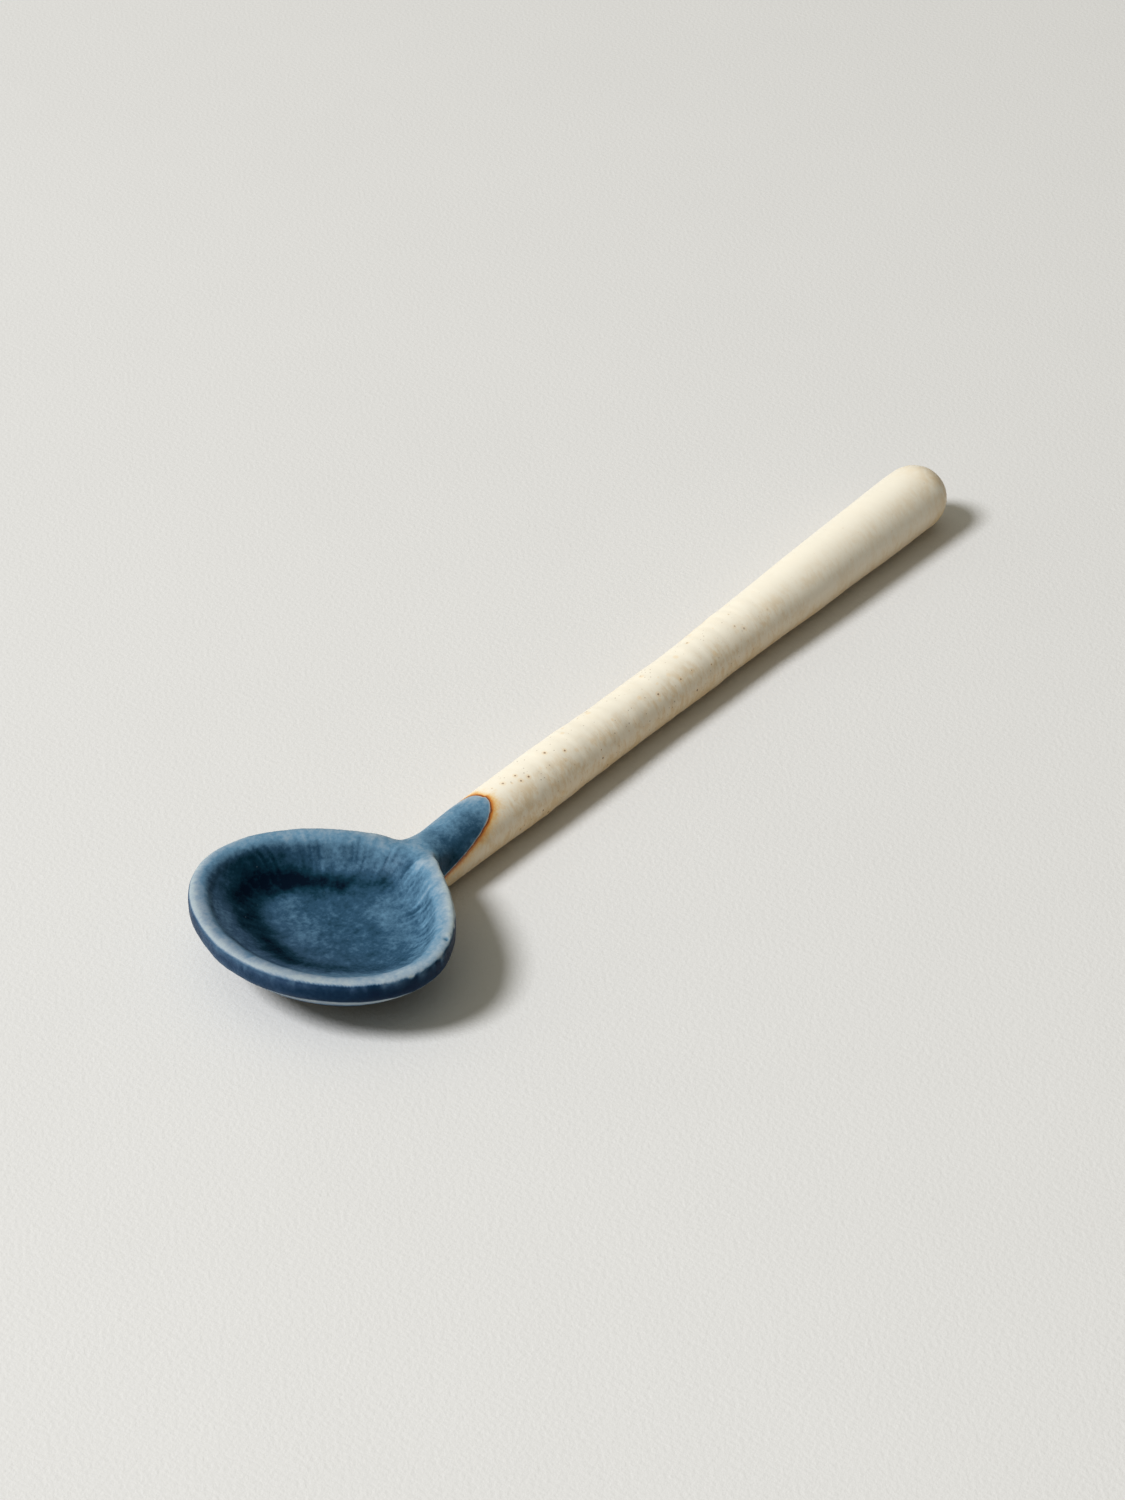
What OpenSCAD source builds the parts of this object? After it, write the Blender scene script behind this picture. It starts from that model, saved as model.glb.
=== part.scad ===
// A small stoneware spoon, modelled as it lies on a table: a thick egg-shaped bowl with a rolled
// rim and a rolled rod for a handle, luted together with slip and a clay coil, then dipped in
// blue glaze at the bowl and in cream glaze at the handle.
// Millimetres. The origin is the middle of the bowl's flat foot, at table height.
// X runs along the handle to its tip, Y across the spoon and Z up.

/* [Whole spoon] */
// Length from the front of the bowl to the tip of the handle
spoon_len = 159.6; // [140:0.2:190]

/* [Bowl] */
// Outside length of the bowl, front to back, without the point that runs out into the neck
bowl_len = 33; // [31:0.2:36]
// Outside width of the bowl
bowl_w = 38.4; // [35:0.2:44]
// How far the bowl's rim is drawn out into a point towards the handle
spout_len = 3; // [1.5:0.1:4]
// Height of the rim above the table
rim_h = 10.6; // [10:0.1:12]
// How much lower the rim is at that point
rim_drop = 1; // [0.4:0.1:1.4]
// Depth of the middle of the bowl below the rim
bowl_depth = 5.2; // [4.2:0.1:5.8]
// Width of the rolled rim, outside to inside
rim_w = 3.2; // [2.8:0.1:4]
// Height of the rolled rim, top to underside
rim_tall = 3.3; // [2.8:0.1:4]
// Length of the floor inside the bowl
floor_len = 17.6; // [15:0.2:19]
// Width of the floor inside the bowl
floor_w = 23; // [19:0.2:25]
// How far the middle of the floor lies from the middle of the bowl, towards the handle
floor_shift = 3; // [1:0.1:3.4]
// How much the edge of the floor stands above its middle
floor_rise = 0.6; // [0.2:0.1:1]
// Length of the flat foot the bowl stands on
foot_len = 15; // [12:0.2:18]
// Width of the flat foot the bowl stands on
foot_w = 18; // [14:0.2:22]
// Height of the bare clay left round the foot when the glaze is wiped off
foot_wipe = 0.5; // [0.3:0.1:1]

/* [Handle] */
// Diameter of the handle at its slim middle
handle_waist_d = 8.3; // [7.6:0.1:9.2]
// Diameter of the handle near its tip
handle_end_d = 10.4; // [9.4:0.1:12]
// How far the handle's saddle-cut end reaches in past the edge of the bowl's foot
handle_tuck = 0.6; // [0.3:0.1:1.5]

/* [Joint] */
// Thickness of the slip between the bowl and the handle
slip_t = 0.4; // [0.2:0.05:0.8]
// How far inside the bowl's point the coil smoothed into the neck starts
neck_tuck = 4.5; // [4:0.1:5.5]
// Length of the coil smoothed into the neck
neck_len = 9; // [7:0.2:11]
// Width of the neck coil where it leaves the rim
neck_w = 10; // [9.4:0.1:10.4]
// Height of the glazed neck where it leaves the bowl's point
neck_h = 9.5; // [9.3:0.1:9.9]
// Height above the table of the neck coil's lower edge where it leaves the bowl
neck_under = 6.6; // [6.2:0.1:7]
// How far the neck coil's thin end sinks into the handle
neck_sink = 0.3; // [0.2:0.1:0.8]

/* [Glaze] */
// Thickness of both glaze coats
glaze_t = 0.35; // [0.25:0.05:0.5]
// Where the blue glaze ends on top of the handle, from the middle of the bowl
dip_end = 32.4; // [29:0.2:40]
// How far the edge of the blue glaze runs back from there to the handle's side
dip_run = 18.4; // [14:0.2:19]
// Width of the rusty line where the two glazes meet
flash_w = 0.6; // [0.4:0.05:1]

/* [Hidden] */

// Points round a ring of the bowl, and round a ring of the handle and the neck
bowl_sides = 56;
rod_sides = 28;

// Share of the rim's width that the bowl's core stays in from its outside, and from its lip
core_share = 0.35;
// The egg outline: how far its widest place lies towards the front, and how straight its
// flanks run to the neck
egg_share = 0.12;
flank_share = 0.13;
// How square the rolled rim is
rim_square = 2.6;
// How quickly the inner wall levels out into the floor
wall_power = 1.5;
// How narrow the rim's point is, and how narrow its dip there
spout_power = 12;
drop_power = 8;
// How square a cross-section of the neck is, and how quickly the neck narrows to the handle
neck_square = 2;
neck_flare = 3;
// How the edge of the blue glaze curves from the handle's top to its side
dip_power = 2.5;
side_angle = 90;

// Angles over the rolled rim from its underside to its inside, and round the handle's tip
roll_angles = [-52, -26, 0, 25, 50, 70, 90, 115, 140];
crest_angle = 90;
tip_angles = [16, 32, 48, 64, 80];
dip_angles = [0, 10, 20, 30, 40, 50, 60, 70, 80, 90];
// The underside from the rim to past the foot: share of the way in, and share of the way down
belly_shares = [[1.2, 1.12], [0.88, 0.92], [0.7, 0.77], [0.5, 0.58], [0.32, 0.39], [0.15, 0.19]];
// Which way the underside faces: how much of it outwards, and how much of it down
belly_out_share = 0.6;
belly_down_share = 0.8;
// Shares of the way down the inner wall, and of the floor's size, from its edge to its middle
wall_shares = [0.2, 0.4, 0.6, 0.8, 1];
floor_shares = [0.65, 0.3];
// Shares of the neck's length where its cross-sections lie
neck_shares = [0, 0.12, 0.28, 0.48, 0.72, 1];

// The hand-rolled swelling of the handle: share of the way from the bowl's middle to the tip,
// and share of the way from the waist's diameter to the end's
swell_shares = [[0, 0.1], [0.19, 0.1], [0.25, 0.19], [0.345, 0.22], [0.407, 0.03], [0.47, 0],
                [0.534, 0.05], [0.6, 0.12], [0.666, 0.34], [0.734, 0.52], [0.803, 0.73],
                [0.875, 0.88], [0.93, 1], [1, 1]];
// Half the stretch over which neighbouring swellings are evened out
ease_share = 0.02;
handle_steps = 21;

tip_x = spoon_len - bowl_len / 2;
tip_r = handle_end_d / 2;
handle_x = foot_len / 2 - handle_tuck;
roll_z = rim_h - rim_tall / 2;
floor_z = rim_h - bowl_depth;
neck_x = bowl_len / 2 + spout_len - neck_tuck;
clay = -glaze_t;
glaze_reach = glaze_t / 2;
far = spoon_len;

// Radius of the glazed handle at a place along the spoon
function swell(share) =
    (lookup(share - ease_share, swell_shares) + lookup(share + ease_share, swell_shares)) / 2;
function handle_r(x) =
    (handle_waist_d + (handle_end_d - handle_waist_d) * swell(x / tip_x)) / 2;

// The rim and all that hangs from it is drawn out and dips towards the neck
function rim_part(z) = max(0, min(1, (z - floor_z) / (rim_h - floor_z)));
function towards(turn, power) = pow(max(0, cos(turn)), power);
function drawn(x, z, turn) = x + spout_len * towards(turn, spout_power) * rim_part(z);
function dipped(z, turn) = z - rim_drop * towards(turn, drop_power) * rim_part(z);
function slim(turn) = 1 - egg_share * cos(turn) - flank_share * pow(cos(turn), 2);

// A level ring of points: an egg with its own half length, half width and height
function egg_ring(half_l, half_w, z) = [
    for (i = [0 : bowl_sides - 1])
        let (turn = 360 * i / bowl_sides)
            [drawn(half_l * cos(turn), z, turn), half_w * slim(turn) * sin(turn),
             dipped(z, turn)]];

// The floor's own ring, an egg set towards the handle
function floor_ring(part, grow, z) = [
    for (i = [0 : bowl_sides - 1])
        let (turn = 360 * i / bowl_sides)
            [floor_shift + (floor_len / 2 - grow) * part * cos(turn),
             (floor_w / 2 - grow) * part * slim(turn) * sin(turn), z]];

function between(a, b, share, drop) = [
    for (i = [0 : len(a) - 1])
        [a[i].x + (b[i].x - a[i].x) * share, a[i].y + (b[i].y - a[i].y) * share,
         a[i].z + (b[i].z - a[i].z) * drop]];

// The bowl's skin in three stretches, each a list of rings; grow moves the skin outwards
function powered(value, power) = sign(value) * pow(abs(value), power);
function roll_out(grow, a) =
    (rim_w / 2 + grow) * powered(cos(a), 2 / rim_square) - rim_w / 2;
function roll_up(grow, a) = (rim_tall / 2 + grow) * powered(sin(a), 2 / rim_square);
function roll_ring(grow, a) =
    egg_ring(bowl_len / 2 + roll_out(grow, a), bowl_w / 2 + roll_out(grow, a),
             roll_z + roll_up(grow, a));
function belly_rings(grow) =
    let (from = roll_out(0, roll_angles[0]), high = roll_z + roll_up(0, roll_angles[0]),
         out = grow * belly_out_share, down = grow * belly_down_share)
        [for (b = belly_shares)
            egg_ring((bowl_len / 2 + from) * (1 - b[0]) + foot_len / 2 * b[0] + out,
                     (bowl_w / 2 + from) * (1 - b[0]) + foot_w / 2 * b[0] + out,
                     high - high * b[1] - down)];
function roll_rings(grow, last) = [for (a = roll_angles) if (a <= last) roll_ring(grow, a)];
function inner_rings(grow) =
    let (lip = roll_ring(grow, roll_angles[len(roll_angles) - 1]),
         edge = floor_ring(1, grow, floor_z + floor_rise + grow))
        concat([for (w = wall_shares) between(lip, edge, w, 1 - pow(1 - w, wall_power))],
               [for (k = floor_shares) floor_ring(k, grow, floor_z + floor_rise * k * k + grow)]);

// A ring across the handle, whose underside lies on the table when it is glazed
function rod_ring(x, radius, height) = [
    for (i = [0 : rod_sides - 1])
        let (turn = 360 * i / rod_sides)
            [x, radius * sin(turn), height - radius * cos(turn)]];

// A ring across the neck: a rounded box that slims from the rim's height to the handle's
function neck_ring(share, grow) =
    let (x = neck_x + neck_len * share,
         left = pow(1 - share, neck_flare),
         seat = handle_r(neck_x + neck_len),
         half = seat - glaze_t - neck_sink + (neck_w / 2 - seat + glaze_t + neck_sink) * left,
         high = 2 * seat - glaze_t - neck_sink,
         top = high + (neck_h - glaze_t - high) * (1 - share),
         under = seat - (seat - neck_under) * left,
         middle = (top + under) / 2,
         tall = (top - under) / 2)
        [for (i = [0 : rod_sides - 1])
            let (turn = 360 * i / rod_sides)
                [x, (half + glaze_t + grow) * powered(sin(turn), 2 / neck_square),
                 middle - (tall + glaze_t + grow) * powered(cos(turn), 2 / neck_square)]];

// A closed solid through a list of rings, ended by a point at each end
function spindle_faces(rings, n) = concat(
    [for (i = [0 : n - 1]) [0, 1 + i, 1 + (i + 1) % n]],
    [for (k = [0 : rings - 2], i = [0 : n - 1])
        let (a = 1 + k * n + i, b = 1 + k * n + (i + 1) % n) [a, b + n, b]],
    [for (k = [0 : rings - 2], i = [0 : n - 1])
        let (a = 1 + k * n + i, b = 1 + k * n + (i + 1) % n) [a, a + n, b + n]],
    [for (i = [0 : n - 1])
        let (a = 1 + (rings - 1) * n) [1 + rings * n, a + (i + 1) % n, a + i]]);
module spindle(start, rings, end) {
    polyhedron(points = concat([start], [for (ring = rings) each ring], [end]),
               faces = spindle_faces(len(rings), len(rings[0])), convexity = 6);
}

function middle_of(ring) = [ring[0].x, 0, (ring[0].z + ring[len(ring) / 2].z) / 2];
module stretch(a, b) {
    hull() spindle(middle_of(a), [a, b], middle_of(b));
}

module below_table() {
    translate([-far, -far, -far]) cube([3 * far, 2 * far, far]);
}

// The lowest point of the bowl before its foot is cut flat
function keel(grow) = let (last = belly_rings(grow)[0]) [0, 0, last[0].z];

// The bowl with its hollow, the foot cut flat
module bowl_form(grow) {
    difference() {
        spindle(keel(grow),
                concat(belly_rings(grow), roll_rings(grow, 180), inner_rings(grow)),
                [floor_shift, 0, floor_z + grow]);
        below_table();
    }
}

// The bowl as if it had no hollow, which is what the handle and the neck are cut to
module bowl_mass(grow) {
    difference() {
        spindle(keel(grow),
                concat(belly_rings(grow), roll_rings(grow, crest_angle)),
                [0, 0, rim_h + grow]);
        below_table();
    }
}

// The space over the bowl's inside, bounded within its wall, where no handle or neck may reach
module bowl_core() {
    shell = -rim_w * core_share;
    inset = rim_w * (1 - core_share);
    wall = egg_ring(bowl_len / 2 - inset, bowl_w / 2 - inset, rim_h);
    spindle(keel(shell),
            concat(belly_rings(shell),
                   [[for (p = wall) [p.x, p.y, roll_z]], [for (p = wall) [p.x, p.y, far]]]),
            [0, 0, far]);
}

module handle_form(grow) {
    last_x = tip_x - tip_r;
    rings = concat(
        [for (i = [0 : handle_steps])
            let (x = handle_x + (last_x - handle_x) * i / handle_steps)
                rod_ring(x, handle_r(x) + grow, handle_r(x))],
        [for (a = tip_angles)
            rod_ring(last_x + (tip_r + grow) * sin(a), (tip_r + grow) * cos(a), tip_r)]);
    for (i = [0 : len(rings) - 2]) stretch(rings[i], rings[i + 1]);
    hull() spindle([last_x, 0, tip_r], [rings[len(rings) - 1]], [last_x + tip_r + grow, 0, tip_r]);
}

module neck_form(grow) {
    for (i = [0 : len(neck_shares) - 2])
        stretch(neck_ring(neck_shares[i], grow), neck_ring(neck_shares[i + 1], grow));
}

// The whole spoon's form: all of its clay, or all of it with its glaze on
module spoon_form(grow) {
    bowl_form(grow);
    difference() {
        union() {
            handle_form(grow);
            neck_form(grow);
        }
        bowl_core();
    }
}

module glaze_coat() {
    difference() {
        spoon_form(0);
        spoon_form(clay);
    }
}

// What the blue dip reached on the handle, seen from the side: a tongue along its top
module tongue_zone(margin) {
    seat = handle_r(dip_end);
    edge = [for (a = dip_angles)
        [dip_end - dip_run * pow(a / side_angle, dip_power), seat + seat * cos(a)]];
    translate([0, far / 2, 0]) rotate([90, 0, 0]) linear_extrude(far)
        offset(delta = margin) polygon(concat(
            [[-far, far], [dip_end, far]], edge, [[-far, seat]]));
}

module bowl_body() {
    color([0.72, 0.62, 0.5]) bowl_form(clay);
}

module handle_body() {
    color([0.78, 0.69, 0.57]) difference() {
        handle_form(clay);
        bowl_mass(clay + slip_t);
    }
}

module joint_slip() {
    color([0.6, 0.5, 0.4]) intersection() {
        difference() {
            handle_form(clay);
            bowl_mass(clay);
        }
        bowl_mass(clay + slip_t);
    }
}

module neck_coil() {
    color([0.66, 0.56, 0.45]) difference() {
        neck_form(clay);
        bowl_mass(clay);
        handle_form(clay);
    }
}

module bowl_glaze() {
    color([0.24, 0.36, 0.45]) difference() {
        intersection() {
            glaze_coat();
            union() {
                bowl_mass(glaze_reach);
                tongue_zone(0);
            }
        }
        translate([0, 0, foot_wipe]) below_table();
    }
}

module flash_line() {
    color([0.62, 0.32, 0.14]) difference() {
        intersection() {
            glaze_coat();
            tongue_zone(flash_w);
        }
        tongue_zone(0);
        bowl_mass(glaze_reach);
    }
}

module handle_glaze() {
    color([0.93, 0.89, 0.79]) difference() {
        glaze_coat();
        tongue_zone(flash_w);
        bowl_mass(glaze_reach);
    }
}

bowl_body();
handle_body();
joint_slip();
neck_coil();
bowl_glaze();
handle_glaze();
flash_line();
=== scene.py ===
import math
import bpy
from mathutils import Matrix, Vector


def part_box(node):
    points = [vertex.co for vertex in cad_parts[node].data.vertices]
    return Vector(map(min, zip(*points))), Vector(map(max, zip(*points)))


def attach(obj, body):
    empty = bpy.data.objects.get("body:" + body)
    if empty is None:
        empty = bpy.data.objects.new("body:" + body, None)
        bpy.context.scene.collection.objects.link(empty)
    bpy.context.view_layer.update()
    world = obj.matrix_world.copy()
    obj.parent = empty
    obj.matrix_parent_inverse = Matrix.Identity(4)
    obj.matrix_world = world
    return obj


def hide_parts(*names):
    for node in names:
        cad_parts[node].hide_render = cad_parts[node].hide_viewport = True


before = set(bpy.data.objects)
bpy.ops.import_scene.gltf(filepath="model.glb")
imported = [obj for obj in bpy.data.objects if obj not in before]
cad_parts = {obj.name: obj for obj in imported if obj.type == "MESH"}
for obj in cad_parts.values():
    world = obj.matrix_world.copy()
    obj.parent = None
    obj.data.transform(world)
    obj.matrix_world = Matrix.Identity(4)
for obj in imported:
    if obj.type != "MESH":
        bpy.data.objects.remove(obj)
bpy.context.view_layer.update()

from types import SimpleNamespace

import bpy
import numpy as np
from bpy.props import FloatProperty, FloatVectorProperty, PointerProperty
from bpy.types import Operator, Panel, PropertyGroup
from mathutils import Vector

bl_info = {
    "name": "Glazed stoneware spoon",
    "version": (1, 0, 0),
    "blender": (4, 5, 0),
    "location": "View3D > Sidebar > Spoon",
    "description": "Dresses the packed spoon: clay, dipped glazes, the rusty line and the paper",
    "category": "Add Mesh",
}

MM = 0.001
BODY = "root"

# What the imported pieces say, in millimetres
BOWL_LO, BOWL_HI = [np.array(corner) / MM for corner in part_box("bowl_glaze")]
HANDLE_HI = np.array(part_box("handle_glaze")[1]) / MM
CLAY_LO = np.array(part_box("handle_body")[0]) / MM

# The egg outline: how far its widest place lies towards the front, and how straight its flanks run
EGG_SHARE = 0.12
FLANK_SHARE = 0.13
# How narrow the rim's drawn-out point is, and the dip there
SPOUT_POWER = 12
DROP_POWER = 8
# How square the rim's outer side is, how round its inner side, and from what share of its width
# inwards it leans down
RIM_SQUARE = 4.5
RIM_ROUND = 2.2
LEAN_SHARE = 0.25
# How much steeper the bowl's inner wall is at the rim than at the floor
WALL_POWER = 1.25
# Where the roll of the rim starts outside, ends inside and has its crest, in degrees
ROLL_FROM = -52
ROLL_TO = 140
CREST = 90
# The underside: share of the way in to the foot, and share of the way down
BELLY_SHARES = [[0, 0], [0.15, 0.19], [0.32, 0.39], [0.5, 0.58], [0.7, 0.77], [0.88, 0.92],
                [1.2, 1.12]]
# How much of a skin's growth goes outwards there, and how much downwards
BELLY_OUT_SHARE = 0.6
BELLY_DOWN_SHARE = 0.8
# How deep the space kept free of the handle lies in the bowl's wall
CORE_SHARE = 0.35
# The handle's swelling: share of the way to the tip, and share from waist to end diameter
SWELL_SHARES = [[0, 0.1], [0.19, 0.1], [0.25, 0.19], [0.345, 0.22], [0.407, 0.03], [0.47, 0],
                [0.534, 0.05], [0.6, 0.12], [0.666, 0.34], [0.734, 0.52], [0.803, 0.73],
                [0.875, 0.88], [0.93, 1], [1, 1]]
# The swelling is averaged over these steps to both sides, in that share of the way to the tip
EASE_SHARE = 0.03
EASE_STEPS = (-1, -0.5, 0, 0.5, 1)
# From where on the mesh's cells are longer, and how much the handle is drawn together for that
SQUEEZE_FROM = 36
SQUEEZE_SHARE = 0.7
# The neck: how fast it flares, how square it gets at the bowl, how slim and how deep it ends
NECK_FLARE = 3
NECK_SQUARE = 0.8
NECK_SLIM = 0.8
NECK_SUNK = 0.3
# The blue edge on the handle: how suddenly it runs back, and how much less on the far side
DIP_POWER = 2.5
FAR_SHARE = 0.86
# How finely each form is laid out before it becomes part of the skin: points round it and rings
OUTLINE_STEPS = 720
BOWL_SIDES = 360
BOWL_FINE = 8
BELLY_RINGS = 5
ROLL_RINGS = 8
WALL_RINGS = 5
FLOOR_RINGS = 3
ROD_SIDES = 96
ROD_RINGS = 260
TIP_RINGS = 22
COIL_SIDES = 72
COIL_RINGS = 40
CORE_SIDES = 120
CORE_RINGS = 12
# The clay bowl under the glaze is laid out more plainly, and lies that many coats deep
CLAY_SIDES = 240
CLAY_FINE = 3
CLAY_UNDER = 1.2
# How often each place of the skin is drawn to its neighbours' middle, and how far each time
SKIN_ROUNDS = 6
CREASE_ROUNDS = 420
CREASE_EDGE_ROUNDS = 24
CORNER_ROUNDS = 90
DETAIL_ROUNDS = 14
RELAX_SHARE = 0.5
# Below which weight a point stays where it is, and the least length that is divided by
STILL = 0.001
TINY = 1e-12
# The crease between bowl and handle: height over the neck's lower edge, half its size each way,
# and how far it may sink or fill up
CREASE_UP = 1
CREASE_REACH = [5.5, 6.5, 5.5]
CREASE_MOVE = (-0.12, 1.6)
# What scatters the noise: a step for each seed, and a sine's factors before and after it
SEED_STEP = [17.3, 5.7, 11.1]
SHUFFLE = [12.9898, 78.233, 37.719]
SPREAD = 43758.5453
# Uneven places: seed, how strong, and how wide one patch is along each direction. Relief is in
# millimetres, and the paper's patches are in metres
PATCHES = {
    "blue edge": (3, 0.22, 1 / 2.2, 1),
    "lane bend": (5, 0.8, 3.1, 2.7),
    "wall lanes": (7, 0.8, 0.52, 3.2),
    "wall waves": (9, 0.3, 1.25, 4.5),
    "crest waves": (11, 0.16, 5.5),
    "crest lumps": (13, 0.05, 1.7, 3.0),
    "floor": (15, 0.05, 2.3, 2.3, 2.3),
    "bowl skin": (17, 0.018, 0.8, 0.8, 0.8),
    "handle lumps": (19, 1, 9.5, 6.0, 6.0),
    "handle rings": (21, 0.6, 0.75, 3.2),
    "handle waves": (23, 0.9, 1.9, 4.5),
    "paper": (31, 1, 0.4, 0.4),
    "glaze lanes": (41, 1, 0.75, 3.0),
    "glaze waves": (43, 1, 2.1, 3.5),
    "glaze runs": (45, 1, 0.9),
    "curtain edge": (47, 0.1, 1.6),
    "tongue": (49, 0.07, 2.6, 2.6, 2.6),
    "glaze floor": (51, 0.04, 2.6, 2.6, 2.6),
    "glaze gaps": (53, 1, 0.75),
    "glaze bend": (55, 0.9, 2.4, 2.4, 2.4),
}
# One side of the bowl: how much, the compass degrees it faces, and how wide it is
SIDES = {
    "sink": (1, 0, 15),
    "over near": (0.55, -145, 38),
    "over far": (-0.9, 55, 45),
    "over right": (-0.5, -35, 28),
    "all farther in": (0.5, -145, 38),
    "streaks": (1, 48, 28),
    "floor left": (-0.05, 130, 50),
    "floor right": (-0.12, -35, 45),
    # Painted highlight along the crest's sharp outer edge, partly thin glaze breaking over it
    "sharp edge painted highlight": (0.1, 178, 48),
    "drips": (0.85, -105, 42),
    "curtain low": (-0.9, -42, 24),
    # Painted bounce light: a paler strip under the curtain on the near side
    "under painted bounce": (-0.2, -112, 45),
    "crest right": (-0.12, -38, 40),
    "crest far": (0.2, 55, 45),
    # The curtain's side that faces the lamp: painted light, made thinner and paler
    "lamp side painted light": (1, 165, 42),
    "heavy near": (0.2, -100, 50),
}
# Where something fades in: from, to, and how much where that isn't 1. They are millimetres,
# degrees round the bowl or handle, or for the flat ones how far a place faces up
FADES = {
    "sink out": (-2.6, -0.3),
    "sink up": (7.4, 8.8),
    "near the handle": (27, 34),
    "crease up": (2.5, 5.0),
    "crease smoothed": (1.0, 1.3),
    "crease filled": (0.45, 1.05),
    "corner in": (3.2, 5.0),
    "corner flat": (0.2, 0.5),
    "corner up": (4.0, 5.2),
    "relief off bowl": (0.3, 1.6),
    "inside in": (1.2, 2.6),
    "inside flat": (0.0, 0.35),
    "wall in": (6.5, 9.0),
    "wall up": (0.6, 1.6),
    "lanes turn": (-0.35, 0.45),
    "crest in": (1.0, 2.6),
    "crest up": (6.5, 8.0),
    "floor in": (6.0, 8.0),
    "off the table": (0.0, 1.6),
    "belt start": (30, 44),
    "belt end": (88, 108),
    "blue ends": (-0.25, 0.25),
    "blue swells": (-2.2, -0.3),
    "glaze off bowl": (0.25, 1.4),
    "seam off bowl": (0.0, 0.22, 5),
    "over the crest": (-0.75, -0.35),
    "underside": (-0.1, 0.1),
    "glaze wall": (8.0, 11.0),
    "wall to floor": (-1.2, 2.6),
    "curtain root": (14, 30),
    "curtain top": (-0.28, 0.28),
    "curtain foot": (-0.1, 0.25),
    "gaps up": (-0.8, 1.1),
    "below the roll": (0.0, 1.0),
    "belly": (2.2, 5.0),
    # The tongue's far side is painted paler as painted light, its near side darker as painted shade
    "tongue far painted light": (-8, 48, -0.2),
    "tongue near painted shade": (5, 50, 0.12),
    "tongue end": (26.5, 32, -0.2),
    "tongue root": (19, 24, -0.13),
    "tongue top": (25, 55),
}
# How far in the crest's middle lies, how weak the rivulets are at the front, how much fainter the
# handle's rings are at the tip, and how high the blue glaze's edge stands
CREST_IN = 0.9
WEAK_LANES = 0.22
BELT_LOSS = 0.75
EDGE_RAISED = 0.05
# Pits and a bump in the rim and the crease: place, radius and height
PITS = [
    ((18.5, -5.4, 8.1), 1.3, -0.4),
    ((18.6, -3.5, 9.2), 1.0, 0.16),
    ((3.5, -17.4, 10.4), 0.42, -0.26),
    ((4.9, -17.3, 10.4), 0.3, -0.14),
]
# How soon they fade out round their middle
PIT_STEEP = 1.6
# How thick the blue glaze looks, from 0 to 1. Round the bowl, by compass degrees: on the crest,
# how wide the crest is, on the wall, how far in the pooled ring lies, how wide and how much
# thicker it is, and how feathery the glaze breaks there
GLAZE_ROUND = [
    (-170, 0.37, 1.1, 0.52, 6.3, 2.1, 0.36, 0.1),
    (-140, 0.27, 2.3, 0.46, 6.8, 1.9, 0.2, 0.1),
    (-95, 0.43, 2.4, 0.44, 6.0, 1.5, 0.08, 0.3),
    (-45, 0.16, 0.8, 0.42, 5.0, 1.5, 0.0, 1.0),
    (0, 0.36, 1.2, 0.42, 6.6, 1.8, 0.14, 0.8),
    (40, 0.46, -0.6, 0.53, 6.9, 2.0, 0.33, 0.7),
    (75, 0.38, -0.6, 0.54, 5.5, 2.5, 0.4, 0.5),
    (105, 0.3, 0.6, 0.53, 6.6, 2.8, 0.36, 0.25),
    (130, 0.23, 2.1, 0.48, 8.4, 2.4, 0.34, 0.05),
    (165, 0.33, 1.3, 0.5, 7.4, 2.1, 0.36, 0.1),
]
# How many degrees on each side join into the values between these rows
JOIN_DEGREES = 14
# Radius by which bearings turn into millimetres round the rim
GLAZE_RADIUS = 17
# How much lanes and waves feather the crest and the wall, and wave its edge and the pooled ring
CREST_FEATHER = (0.45, 0.4)
WALL_FEATHER = (0.09, 0.08)
EDGE_WAVE = 0.04
RING_WAVE = 0.6
# The streaks on the far wall: place in from the rim and width, how thin, and where they clear
STREAK_IN = (4.6, 1.1)
STREAK_THIN = (0.12, 0.16)
CLEAR_FROM = 0.3
# Where the crest's outer edge is sharp and gets a painted highlight, partly thin glaze breaking over
# that edge: place in from the rim and width
EDGE_HIGHLIGHT_IN = (0.3, 0.35)
# How thick the glaze looks on the bowl's floor
FLOOR_THICK = 0.585
# Where the crest starts to fade into the wall, and over what width
CREST_BEGIN = 0.35
CREST_WIDER = 0.9
CREST_WIDE = 1.6
CREST_LEAST = 0.7
# Outside: the curtain's top and foot as shares of the rim's height, and its drips and gaps
CURTAIN_TOP = 0.45
CURTAIN_FOOT = 0.41
FEWEST_DRIPS = 0.15
RUN_LONG = 0.6
RUN_MOST = 0.3
RUN_MIDDLE = 0.1
GAP_THIN = 0.75
# How thick the glaze looks in the curtain, outside the crest, under the curtain and on the belly;
# under the curtain it is made pale as painted bounce light from the paper
CURTAIN_THICK = 0.8
CREST_THICK = 0.25
PAINTED_BOUNCE_THICK = 0.22
BELLY_THICK = 0.7
# How much thinner and paler the curtain is painted on the side that faces the lamp, as painted light
PAINTED_LIGHT_THIN = 0.14
PAINTED_LIGHT_PALE = 0.25
# How steep a place is for the outer glaze to reach it, and how much farther where it laps over
OVER_SLOPES = ((0.45, 0.4), (0.8, 0.3))
# The tongue on the handle, and its thick and thin spots: how much, place and size along the
# handle, then place and size across it. The thick spot at the near crease is partly painted shade
TONGUE_THICK = 0.57
TONGUE_SPOTS = [(0.36, 19.6, 2.0, -5.2, 1.2), (-0.16, 18.6, 1.3, -3.3, 1.3)]
# The pool in the crease beside the neck, partly pooled glaze and partly painted shade: place, radius
# and how much thicker it looks
CREASE_POOL_AND_PAINTED_SHADE = ((18.5, -5.3, 8.3), 1.9, 0.55)
# How much the mesh's own bumps and dips count
DETAIL_GAIN = 2.6
DETAIL_MOST = 0.22
# How far the blue coat stands out from the bowl's form, what counts as on a cut, and how thick the
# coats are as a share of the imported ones
BLUE_OUT = 0.25
SNAP = 0.02
COAT_SHARE = 0.85
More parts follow.
